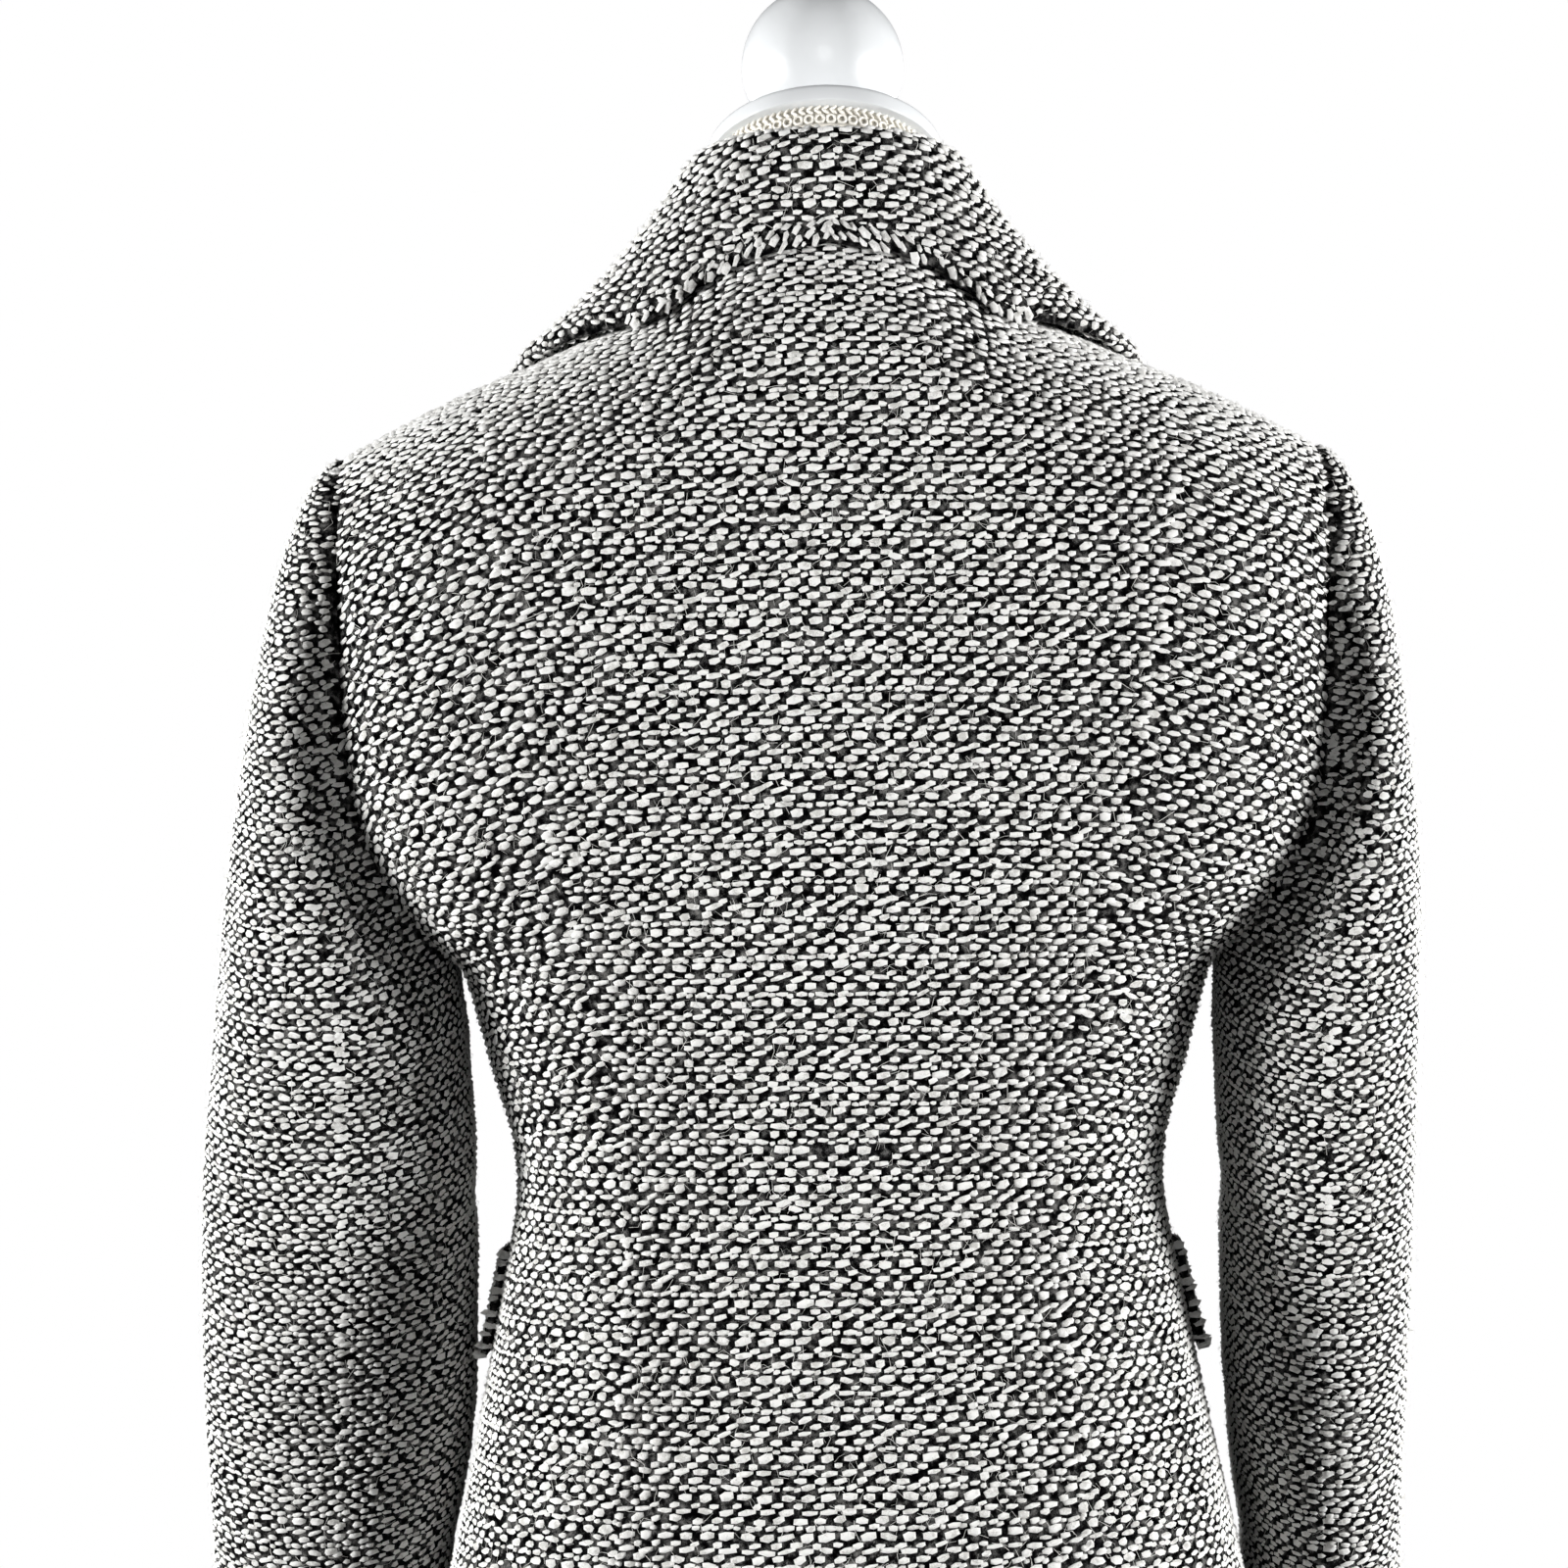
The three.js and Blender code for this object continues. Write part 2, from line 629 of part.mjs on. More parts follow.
// Half depth of a sleeve section from its half width and its girth.
function halfDepth(half, girth) {
  let low = 10;
  let high = girth / 2;
  for (let pass = 0; pass < 40; pass += 1) {
    const b = (low + high) / 2;
    const h = ((half - b) / (half + b)) ** 2;
    const round = Math.PI * (half + b) * (1 + 3 * h / (10 + Math.sqrt(4 - 3 * h)));
    if (round > girth) high = b;
    else low = b;
  }
  return low;
}

// The sleeve as rings of spots from the armhole to the cuff.
function sleeveRings(side) {
  const sectionAt = through([...SLEEVES[side > 0 ? "left" : "right"]].reverse(), "up");
  const first = SLEEVES.left[0].up;
  const around = armholeLoop.length - 1;
  const turnsOf = (i) => (i <= ARMHOLE_STEPS ? armholeShares[i] : 2 - armholeShares[around - i]);
  const ringPoint = (i, up) => {
    const s = sectionAt(up);
    const half = (s.outer - s.inner) / 2;
    const depth = halfDepth(half, s.girth);
    const angle = turnsOf(i) * Math.PI;
    const power = 2 / SLEEVE_SQUARE;
    return vec(
      side * ((s.outer + s.inner) / 2 + half * signedPower(Math.cos(angle), power)),
      s.deep + depth * signedPower(Math.sin(angle), power),
      BUST_LINE + up,
    );
  };
  const capPoint = (i, part) => {
    const place = mirrored(armholeLoop[i], side);
    const start = onBody(place.turn, place.rise);
    const end = ringPoint(i, first);
    const drop = start.z - end.z;
    const high = THREE.MathUtils.smoothstep(drop, 30, 200);
    const reach = lerp(CAP_REACH.low, CAP_REACH.high, high) * drop;
    const swell = THREE.MathUtils.smoothstep(drop, 8, 110);
    const aside = CAP_ASIDE * Math.sin(turnsOf(i) * Math.PI);
    const leave = vec(side * CAP_OUT, aside, 0).multiplyScalar(swell);
    const below = ringPoint(i, first - 10).sub(end).multiplyScalar(-reach * 0.05);
    return new THREE.CubicBezierCurve3(
      start,
      start.clone().add(leave),
      end.clone().add(below),
      end,
    ).getPoint(part);
  };
  const rings = [];
  for (let j = 0; j <= SLEEVE_CAP_STEPS; j += 1) {
    const part = (j / SLEEVE_CAP_STEPS) ** 1.25;
    rings.push(armholeLoop.map((_, i) => capPoint(i, part)));
  }
  for (let j = 1; j <= SLEEVE_FALL_STEPS; j += 1) {
    const up = lerp(first, CUFF_UP, j / SLEEVE_FALL_STEPS);
    rings.push(armholeLoop.map((_, i) => ringPoint(i, up)));
  }
  return rings.map((ring, j) =>
    ring.map((point, i) => {
      const before = ring[(i + around - 1) % around];
      const after = ring[(i + 1) % around];
      const above = rings[Math.max(j - 1, 0)][i];
      const below = rings[Math.min(j + 1, rings.length - 1)][i];
      const inward = after.clone().sub(before).cross(below.clone().sub(above)).normalize();
      inward.multiplyScalar(side);
      if (j === 0) return { point, inward: armholeInward(mirrored(armholeLoop[i], side)) };
      return { point, inward };
    }),
  );
}

// The upper and the under sleeve are the two parts of the rings between the sleeve seams.
function sleevePieces(side) {
  const rings = sleeveRings(side);
  const around = armholeLoop.length - 1;
  const pick = (from, count) =>
    rings.map((ring) =>
      Array.from({ length: count + 1 }, (_, k) => ring[(from + k) % around]),
    );
  const under = SLEEVE_FRONT_SEAM - SLEEVE_BACK_SEAM;
  return { upper: pick(SLEEVE_FRONT_SEAM, around - under), under: pick(SLEEVE_BACK_SEAM, under) };
}

// A place that runs over the shoulder: below 1 on the back, above 1 on the front.
function overShoulder(out, over) {
  const turn = turnAt(out, 160, false);
  if (over <= 1) return { turn, rise: over * SHOULDER_ROUND };
  return { turn: 180 - turn, rise: (2 - over) * SHOULDER_ROUND };
}

// Where the collar is sewn on: 0 is the nape, 1 the neck point and 2 its end on the front.
function collarSeat(seat) {
  if (seat <= 1) {
    const neckTurn = turnAt(NECK_POINT_OUT, NECK_POINT_UP, false);
    return { turn: neckTurn * seat, rise: lerp(NAPE_ROUND, SHOULDER_ROUND, seat ** NAPE_CURVE) };
  }
  const up = lerp(NECK_POINT_UP, COLLAR_END_UP, seat - 1);
  return placeAt(through(FRONT_EDGE, "up")(up).out, up, true);
}

// The line on which the collar folds, from the centre back; below 0 it is the other half.
function foldLine(step) {
  const row = through(COLLAR, "step")(Math.abs(step));
  return vec(step < 0 ? -row.foldOut : row.foldOut, row.foldDeep, BUST_LINE + row.foldUp);
}

// One section of the collar: up the stand, round the fold and down the fall to the edge.
function collarSection(step) {
  const row = through(COLLAR, "step")(step);
  const place = collarSeat(row.seat);
  const fold = foldLine(step);
  const start = onBody(place.turn, place.rise);
  start.add(fold.clone().sub(start).setLength(COLLAR_SEAT_LIFT + SEAM_GAP));
  const rim = overShoulder(row.out, row.over);
  const edge = spot(rim.turn, rim.rise, row.lift).point;
  const along = foldLine(step + 0.05).sub(foldLine(step - 0.05)).normalize();
  const square = (v) => v.addScaledVector(along, -v.dot(along)).normalize();
  const upward = square(fold.clone().sub(start));
  const aside = square(edge.clone().sub(fold));
  aside.addScaledVector(upward, -aside.dot(upward)).normalize();
  const hub = fold.clone().addScaledVector(aside, COLLAR_FOLD_RADIUS);
  hub.addScaledVector(upward, -COLLAR_FOLD_RADIUS);
  const dx = edge.clone().sub(hub).dot(aside);
  const dz = edge.clone().sub(hub).dot(upward);
  const finish = Math.atan2(dz, dx) + Math.acos(COLLAR_FOLD_RADIUS / Math.hypot(dx, dz));
  const onFold = (angle) =>
    hub
      .clone()
      .addScaledVector(aside, COLLAR_FOLD_RADIUS * Math.cos(angle))
      .addScaledVector(upward, COLLAR_FOLD_RADIUS * Math.sin(angle));
  const line = [];
  for (let j = 0; j < COLLAR_STAND_STEPS; j += 1) {
    line.push(start.clone().lerp(onFold(Math.PI), j / COLLAR_STAND_STEPS));
  }
  for (let j = 0; j <= COLLAR_FOLD_STEPS; j += 1) {
    line.push(onFold(lerp(Math.PI, finish, j / COLLAR_FOLD_STEPS)));
  }
  for (let j = 1; j <= COLLAR_FALL_STEPS; j += 1) {
    line.push(onFold(finish).lerp(edge, j / COLLAR_FALL_STEPS));
  }
  return line;
}

// The middle surface of the collar, from its right end round the back to its left end.
function collarMiddle() {
  const rows = [];
  for (let k = -COLLAR_COLUMNS; k <= COLLAR_COLUMNS; k += 1) {
    const side = k < 0 ? -1 : 1;
    const line = collarSection((Math.abs(k) / COLLAR_COLUMNS) * (COLLAR.length - 1));
    rows.push(line.map((point) => point.multiply(vec(side, 1, 1))));
  }
  return rows;
}

// One layer of the collar, to a side of the middle surface.
function collarLayer(offset) {
  const rows = collarMiddle();
  const tall = rows.length - 1;
  const wide = rows[0].length - 1;
  return rows.map((row, j) =>
    row.map((point, i) => {
      const along = rows[Math.min(j + 1, tall)][i].clone().sub(rows[Math.max(j - 1, 0)][i]);
      const down = row[Math.min(i + 1, wide)].clone().sub(row[Math.max(i - 1, 0)]);
      const outward = along.cross(down).normalize();
      return { point: point.clone().addScaledVector(outward, offset), inward: outward.negate() };
    }),
  );
}

// The lapel: the facing turned back over the front, from the roll to its edge.
function lapel(side) {
  const at = through(LAPEL, "step");
  const edgeAt = through(FRONT_EDGE, "up");
  const last = LAPEL.length - 1;
  return Array.from({ length: LAPEL_STEPS + 1 }, (_, j) => {
    const first = side > 0 ? LAPEL_START.left : LAPEL_START.right;
    const row = at(lerp(first, last, j / LAPEL_STEPS));
    const roll = placeAt(edgeAt(row.rollUp).out, row.rollUp, true);
    const edge = placeAt(row.edgeOut, row.edgeUp, true);
    return placesBetween(roll, edge, LAPEL_COLUMNS).map((place, i) => {
      const bulge = LAPEL_LIFT * (1 - i / LAPEL_COLUMNS) ** 2 * j / LAPEL_STEPS;
      const lift = CLOTH + LAYER_GAP + bulge + lapLift(place.turn, side);
      return spot(place.turn * side, place.rise, lift);
    });
  });
}

// A pocket flap on the peplum, hanging a little away at its foot, with a rounded back corner.
function pocketFlap(side) {
  return Array.from({ length: FLAP_STEPS + 1 }, (_, j) => {
    const down = j / FLAP_STEPS;
    const curve = FLAP.corner * (1 - Math.sqrt(1 - down ** 4)) * 0.5;
    const back = { turn: FLAP.from + curve, rise: 0 };
    const row = placesBetween(back, { turn: FLAP.to, rise: 0 }, FLAP_COLUMNS);
    const up = lerp(FLAP.top, FLAP.bottom, down);
    return row.map((place) => {
      const lift = CLOTH + LAYER_GAP + FLAP.flare * down;
      return spot(place.turn * side, riseAt(place.turn, up), lift);
    });
  });
}

// A round solid from a profile of [radius, height] pairs, about the Z axis.
function turned(profile, sides = ROUND_SIDES) {
  const points = profile.map(([radius, height]) => new THREE.Vector2(radius, height));
  return new THREE.LatheGeometry(points, sides).rotateX(Math.PI / 2);
}

function button() {
  const { radius, thick, rim, dish, edge, sides } = BUTTON;
  return turned(
    [
      [0, 0],
      [radius - rim, 0],
      [radius, rim],
      [radius, thick - edge],
      [radius - edge, thick],
      [radius - edge - rim, thick],
      [radius - edge - 2 * rim, thick - dish],
      [0, thick - dish],
    ],
    sides,
  );
}

// Radius at which the cloth lies from the axis, in a direction round it, at a height.
function clothRadius(angle, up) {
  const inside = (r) => {
    const out = Math.abs(r * Math.sin(angle));
    const s = bodyAt(up);
    if (out >= s.half) return false;
    const turn = turnAt(out, up, false);
    const above = (up - ridgeUp(turn) + SHOULDER_ROUND) / SHOULDER_ROUND;
    if (above >= 1) return false;
    const close = above > 0 ? Math.sqrt(1 - above * above) : 1;
    const depth = Math.cos(angle) > 0 ? s.back : s.front;
    const deep = depth * (1 - (out / s.half) ** s.square) ** (1 / s.square) * close;
    return Math.abs(r * Math.cos(angle)) < deep;
  };
  let low = 0;
  let high = 260;
  for (let pass = 0; pass < 40; pass += 1) {
    const r = (low + high) / 2;
    if (inside(r)) low = r;
    else high = r;
  }
  return low;
}

// The torso and neck of the form, as rings from the foot of the torso up to the neck plate.
function formTorso() {
  const at = through(FORM_BODY, "up");
  const rings = [];
  const angles = Array.from({ length: FORM_SIDES }, (_, i) => i / FORM_SIDES * 2 * Math.PI);
  for (const up of FORM_LEVELS) {
    const row = at(up);
    const neck = NECK_FILLET.radius + NECK_FILLET.spread * (NECK_FILLET.up - up) ** 2;
    rings.push(
      angles.map((angle) => {
        const ahead = Math.max(-Math.cos(angle), 0) * FORM_FRONT_CLEAR;
        const cloth = clothRadius(angle, Math.max(up + SHOULDER_REST, HEM_UP)) - row.clear - ahead;
        const plate = row.half / Math.max(Math.abs(Math.sin(angle)), 0.05);
        const r = (cloth ** -FORM_SHARP + plate ** -FORM_SHARP + neck ** -FORM_SHARP) ** (-1 / FORM_SHARP);
        return vec(r * Math.sin(angle), r * Math.cos(angle), BUST_LINE + up);
      }),
    );
  }
  for (const row of NECK) {
    const tilt = radians(row.tilt);
    rings.push(
      angles.map((angle) =>
        vec(
          row.radius * Math.sin(angle),
          row.deep + row.radius * Math.cos(angle) * Math.cos(tilt),
          BUST_LINE + row.up + row.radius * Math.cos(angle) * Math.sin(tilt),
        ),
      ),
    );
  }
  return closedRings(rings);
}

// A closed body from rings of the same count, capped at both ends.
function closedRings(rings) {
  const sides = rings[0].length;
  const points = rings.flat();
  const index = [];
  for (let j = 0; j < rings.length - 1; j += 1) {
    for (let i = 0; i < sides; i += 1) {
      const next = (i + 1) % sides;
      const a = j * sides + i;
      const b = j * sides + next;
      index.push(a, b, b + sides, a, b + sides, a + sides);
    }
  }
  const middle = (ring) =>
    ring.reduce((sum, p) => sum.add(p), vec(0, 0, 0)).divideScalar(ring.length);
  for (const [ring, first, turn] of [
    [rings[0], 0, 1],
    [rings[rings.length - 1], (rings.length - 1) * sides, -1],
  ]) {
    points.push(middle(ring));
    for (let i = 0; i < sides; i += 1) {
      const edge = [first + (i + 1) % sides, first + i];
      if (turn < 0) edge.reverse();
      index.push(points.length - 1, ...edge);
    }
  }
  return facingOut(points, index);
}

const part = new THREE.Group();

// Adds a named piece with its finish.
function add(name, geometry, finish) {
  const mesh = new THREE.Mesh(geometry, new THREE.MeshStandardMaterial(COLOURS[finish]));
  mesh.name = name;
  part.add(mesh);
  return mesh;
}

const addCloth = (name, rows) => add(name, clothWall(drawnIn(rows)), "cloth");

function addBodice() {
  addCloth("back_bodice", backCentre());
  addCloth("back_peplum", peplumPiece((up) => mirrored(backSeam(up), -1), backSeam, BACK_COLUMNS, 1));
  for (const [name, side] of [["left", 1], ["right", -1]]) {
    addCloth(`back_side_${name}`, sidePiece(false, side));
    addCloth(`front_side_${name}`, sidePiece(true, side));
    addCloth(`front_${name}`, frontPiece(side));
    addCloth(`back_side_peplum_${name}`, peplumPiece(backSeam, sideSeam, SIDE_COLUMNS, side));
    addCloth(`front_side_peplum_${name}`, peplumPiece(frontSeam, sideSeam, SIDE_COLUMNS, side));
    const lap = (turn) => lapLift(turn, side);
    addCloth(`front_peplum_${name}`, peplumPiece(frontSeam, frontEdge, FRONT_COLUMNS, side, lap));
  }
}

function addSleeves() {
  for (const [name, side] of [["left", 1], ["right", -1]]) {
    const pieces = sleevePieces(side);
    addCloth(`upper_sleeve_${name}`, pieces.upper);
    addCloth(`under_sleeve_${name}`, pieces.under);
  }
}

function addCollarAndTrim() {
  addCloth("upper_collar", collarLayer(SEAM_GAP / 2 + CLOTH));
  addCloth("under_collar", collarLayer(-SEAM_GAP / 2));
  for (const [name, side] of [["left", 1], ["right", -1]]) {
    addCloth(`lapel_${name}`, lapel(side));
    addCloth(`pocket_flap_${name}`, pocketFlap(side));
  }
  BUTTONS.forEach(({ up, lift }, i) => {
    const place = placeAt(0, up, true);
    const seat = spot(place.turn, place.rise, lapLift(180, -1) + lift);
    const mesh = add(`button_${i + 1}`, button(), "button");
    mesh.position.copy(seat.point);
    mesh.quaternion.setFromUnitVectors(vec(0, 0, 1), seat.inward.clone().negate());
  });
}

// The neck plate, finial and braid share the tilt of the top of the neck.
function addForm() {
  add("form_torso", formTorso(), "form");
  const top = NECK[NECK.length - 1];
  const neck = new THREE.Group();
  neck.position.set(0, top.deep, BUST_LINE + top.up);
  neck.rotation.x = radians(NECK_TILT);
  part.add(neck);
  const { radius, thick, bevel, edge } = PLATE;
  const plate = add(
    "neck_plate",
    turned([
      [0, 0],
      [radius - edge, 0],
      [radius, edge],
      [radius, thick - bevel],
      [radius - bevel, thick],
      [0, thick],
    ]),
    "paint",
  );
  const { stem, ball, height, steps } = FINIAL;
  const round = Array.from({ length: steps + 1 }, (_, k) => {
    const angle = lerp(-Math.acos(stem / ball), Math.PI / 2, k / steps);
    return [k < steps ? ball * Math.cos(angle) : 0, height + ball * Math.sin(angle)];
  });
  const finial = add("finial", turned([[0, 0], [stem, 0], ...round]), "paint");
  const inner = top.radius + SEAM_GAP;
  const braid = add(
    "neck_braid",
    turned([
      [inner, -BRAID.height],
      [inner + BRAID.thick, -BRAID.height],
      [inner + BRAID.thick, -BRAID.below],
      [inner, -BRAID.below],
      [inner, -BRAID.height],
    ]),
    "braid",
  );
  plate.position.z = SEAM_GAP;
  finial.position.z = thick + 2 * SEAM_GAP;
  neck.add(plate, finial, braid);
  const torsoFoot = BUST_LINE + FORM_LEVELS[0];
  const baseTop = BASE.thick + BASE.crown;
  add(
    "stand_base",
    turned([
      [0, 0],
      [BASE.radius, 0],
      [BASE.radius, BASE.thick],
      [BASE.radius - BASE.rim, BASE.thick + BASE.edge],
      [BASE.crownRadius, baseTop],
      [BASE.boss, baseTop + BASE.edge],
      [BASE.boss - BASE.edge, BASE.bossUp],
      [0, BASE.bossUp],
    ]),
    "paint",
  );
  const tall = torsoFoot - BASE.bossUp - 2 * SEAM_GAP;
  const tube = new THREE.CylinderGeometry(POLE_RADIUS, POLE_RADIUS, tall, ROUND_SIDES);
  const pole = add("stand_pole", tube.rotateX(Math.PI / 2), "paint");
  pole.position.z = (torsoFoot + BASE.bossUp) / 2;
}

addBodice();
addSleeves();
addCollarAndTrim();
addForm();

export default part;
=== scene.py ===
"""Boucle blazer on a limbless dress form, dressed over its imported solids.

Metres and Z up in the scene; the tables are in millimetres. The front looks towards -Y and the
wearer's left is +X. Heights named "up" count from the bust line.
"""

import json
import logging
import math
from dataclasses import dataclass, field
from enum import Enum

import bmesh
import bpy
import numpy as np
from mathutils import Matrix, Vector

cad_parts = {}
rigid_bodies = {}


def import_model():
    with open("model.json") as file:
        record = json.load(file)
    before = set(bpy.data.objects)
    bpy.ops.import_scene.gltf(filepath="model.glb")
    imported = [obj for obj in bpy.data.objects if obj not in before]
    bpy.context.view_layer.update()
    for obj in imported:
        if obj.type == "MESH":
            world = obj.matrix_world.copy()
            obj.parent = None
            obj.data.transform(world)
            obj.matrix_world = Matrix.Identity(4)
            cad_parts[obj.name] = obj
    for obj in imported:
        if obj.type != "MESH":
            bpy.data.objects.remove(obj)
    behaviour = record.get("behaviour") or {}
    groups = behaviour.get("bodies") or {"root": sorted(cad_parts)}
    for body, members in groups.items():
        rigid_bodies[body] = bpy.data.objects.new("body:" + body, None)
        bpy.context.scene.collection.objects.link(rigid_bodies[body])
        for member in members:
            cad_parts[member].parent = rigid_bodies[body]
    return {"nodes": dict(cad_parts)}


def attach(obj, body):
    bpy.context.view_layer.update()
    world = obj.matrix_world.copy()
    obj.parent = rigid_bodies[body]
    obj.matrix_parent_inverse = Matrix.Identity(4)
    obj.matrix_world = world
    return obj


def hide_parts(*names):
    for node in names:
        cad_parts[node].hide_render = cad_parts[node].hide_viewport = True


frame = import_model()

MM = 0.001
BUST_LINE = 1180.0
CLOTH = 2.4
SEAM_GAP = 0.3
LAYER_GAP = 1.2
WAIST_UP = -131.0
HEM_UP = -380.0
CUFF_UP = -470.0
ARMPIT_UP = -66.0
SHOULDER_ROUND = 65.0
SHOULDER_HALF = 198.0
SHOULDER_SQUARE = 2.5
NECK_POINT = (62.0, 181.0)
NAPE_ROUND = 31.0
COLLAR_END_UP = 156.0
OVERLAP = 20.0
LOW_STEPS, HIGH_STEPS, SIDE_STEPS = 4, 6, 3
HIGH_SHARE = 0.38
NECK_TILT = 25.0
PLATE_HUB = (0.0, -5.0, BUST_LINE + 234.0)
MM_PER_DEGREE = 2.3
RISE_STEP = 0.6
CHART_LEVELS = 1500
PAST_END = 40.0
SEARCH_PART = 4000
SEARCH_TURNS, QUICK_TURNS = 14, 6

Grid = np.ndarray


class Side(Enum):
    """The wearer's side that a piece lies on."""

    LEFT = 1
    RIGHT = -1

    @property
    def word(self) -> str:
        """The side as it stands in a node's name."""
        return self.name.lower()


class Detail(Enum):
    """How finely yarn is shaped: sides of its outline, shoulder ring or not, share of hairs."""

    FINE = (6, True, 1.0)
    MIDDLE = (7, False, 1.0)
    PLAIN = (5, False, 0.6)


@dataclass(frozen=True)
class Table:
    """A table with named columns, read through a smooth curve.

    The first column is the key, and the rows stand in its rising order.
    """

    columns: str
    rows: tuple[tuple[float, ...], ...]

    def at(self, key: Grid | float, column: str) -> Grid:
        """Reads a column.

        Args:
            key: Value or values of the key column.
            column: Name of the column.

        Returns:
            The column's values there.
        """
        data = np.array(self.rows, float)
        keys = data[:, 0]
        values = data[:, self.columns.split().index(column)]
        last = len(keys) - 1
        low = np.maximum(np.arange(last + 1) - 1, 0)
        high = np.minimum(np.arange(last + 1) + 1, last)
        slope = (values[high] - values[low]) / (keys[high] - keys[low])
        x = np.clip(key, keys[0], keys[-1])
        i = np.clip(np.searchsorted(keys, x, side="left") - 1, 0, last - 1)
        span = keys[i + 1] - keys[i]
        t = (x - keys[i]) / span
        ease = t * t * (3 - 2 * t)
        return (
            values[i]
            + (values[i + 1] - values[i]) * ease
            + t * (1 - t) ** 2 * span * slope[i]
            - t * t * (1 - t) * span * slope[i + 1]
        )


BODY = Table("up half back front square", (
    (-380, 164, 124, 128, 2.3), (-298, 149.5, 115, 121, 2.3), (-240, 137.5, 106, 114, 2.3),
    (-180, 126, 93, 105, 2.3), (-152, 121.5, 86, 99, 2.3), (-131, 123.5, 84, 96, 2.3),
    (-104, 131, 89, 101, 2.32), (-74, 139, 95, 110, 2.36), (-66, 143, 96.5, 112, 2.38),
    (-56, 156, 98.5, 114, 2.4), (-45, 167, 100, 117, 2.42), (-30, 179, 102, 120, 2.46),
    (-10, 188, 104.5, 122, 2.5), (20, 193, 107, 121, 2.5), (74, 196.5, 106.5, 108, 2.5),
    (112, 198, 101.5, 97, 2.5), (140, 198, 94, 89, 2.5), (165, 198, 84.5, 82, 2.5),
    (190, 198, 75, 77, 2.5), (222, 198, 66, 72, 2.5),
))
SHOULDER = Table("out up", (
    (0, 221), (22, 215.5), (42, 200), (62, 181), (85, 170.5), (110, 159.5), (137, 148.5),
    (167, 134), (194, 119.5), (200, 115.5),
))
BACK_PRINCESS = Table("up out", (
    (-380, 94), (-277, 84), (-215, 81), (-156, 78), (-131, 79), (-97, 84), (-69, 90),
    (-30, 100), (17, 108), (50, 116), (80, 120), (104, 124), (135, 127), (155, 128),
))
FRONT_PRINCESS = Table("up out", (
    (-380, 104), (-240, 88), (-131, 78), (-60, 89), (10, 100), (70, 112), (120, 124),
    (155, 128),
))
FRONT_EDGE = Table("up out", (
    (-131, -20), (-60, -20), (8, -20), (60, 6), (110, 32), (156, 53), (172, 59), (181, 62),
))
ARMHOLE_BACK = Table("step turn up", (
    (0, 65, 126), (1, 65, 74), (2, 66, 20), (3, 67.5, -19), (4, 70.5, -43), (5, 76, -57),
    (6, 83, -64), (7, 90, -66),
))
ARMHOLE_FRONT = Table("step turn up", (
    (0, 115, 126), (1, 121, 74), (2, 123, 20), (3, 119.5, -19), (4, 112, -43),
    (5, 104, -57), (6, 97, -64), (7, 90, -66),
))
SLEEVES = {
    Side.LEFT: Table("up inner outer deep girth", (
        (-470, 166, 239, -70, 262), (-380, 161.5, 241.5, -52, 276), (-298, 152, 243.5, -33, 292),
        (-240, 142, 244.5, -20, 304), (-200, 140, 244, -12, 312), (-150, 138.5, 242, -5, 326),
        (-90, 141, 236, 0, 344),
    )),
    Side.RIGHT: Table("up inner outer deep girth", (
        (-470, 164, 217, -78, 262), (-380, 161.5, 216, -58, 276), (-298, 155, 215, -38, 292),
        (-240, 148.5, 215.5, -22, 304), (-200, 146.5, 216.5, -13, 312),
        (-150, 145.5, 217.5, -5, 326), (-90, 143.5, 220, 0, 344),
    )),
}
COLLAR = Table("step fold_out fold_deep fold_up out over lift seat", (
    (0, 0, 43.5, 237, 0, 0.52, 9, 0), (1, 23, 38, 236.5, 34, 0.54, 8.5, 0.45),
    (2, 39.5, 22.5, 233, 66, 0.66, 8, 0.8), (3, 46.5, -2, 225, 93, 0.84, 7, 1),
    (4, 49, -27, 210, 110, 1.03, 6.5, 1.12), (5, 50.5, -49, 192, 118, 1.24, 6, 1.42),
    (6, 52, -66, 173, 112, 1.42, 5.5, 1.85),
))
LAPEL = Table("step roll_up edge_up edge_out", (
    (0, 14, 20, -8), (1, 50, 56, 34), (2, 90, 90, 74), (3, 125, 114, 100), (4, 148, 124, 112),
))

# Soft creases of the body: turn and height of the middle, slope, length, width and depth in mm.
BODY_CREASES = (
    (-38, -104, 12, 40, 8, -1.2), (-27, -121, -7, 34, 6, -0.9), (35, -99, -14, 38, 9, -1.2),
    (24, -120, 6, 30, 6, -0.8), (0, -113, 2, 44, 7, -0.7), (-13, -87, 8, 30, 9, -0.5),
    (50, -62, -38, 42, 9, -1.3), (-52, -58, 36, 40, 10, -1.2), (59, 36, 82, 58, 10, -1.4),
    (-58, 30, -80, 56, 11, -1.3), (9, 146, -4, 50, 13, -0.8), (-22, 128, 9, 42, 12, -0.6),
    (-31, -262, 88, 82, 15, 1.5), (23, -255, -86, 90, 17, 1.3), (-4, -280, 91, 85, 18, -1.2),
    (63, -245, 84, 70, 13, 1.4), (-66, -252, 96, 75, 13, 1.3), (146, -103, -12, 38, 8, -1.1),
    (-143, -100, 11, 40, 9, -1.2), (158, -122, 7, 30, 6, -0.8), (-160, -118, -6, 32, 7, -0.9),
    (128, -50, 36, 40, 9, -1.2), (-126, -46, -35, 42, 10, -1.3), (133, 52, -78, 50, 10, -1.1),
    (-132, 48, 80, 52, 10, -1.2), (150, -258, 88, 84, 16, 1.3), (-149, -262, -87, 80, 17, 1.4),
    (112, -250, 94, 72, 13, -1.0),
)

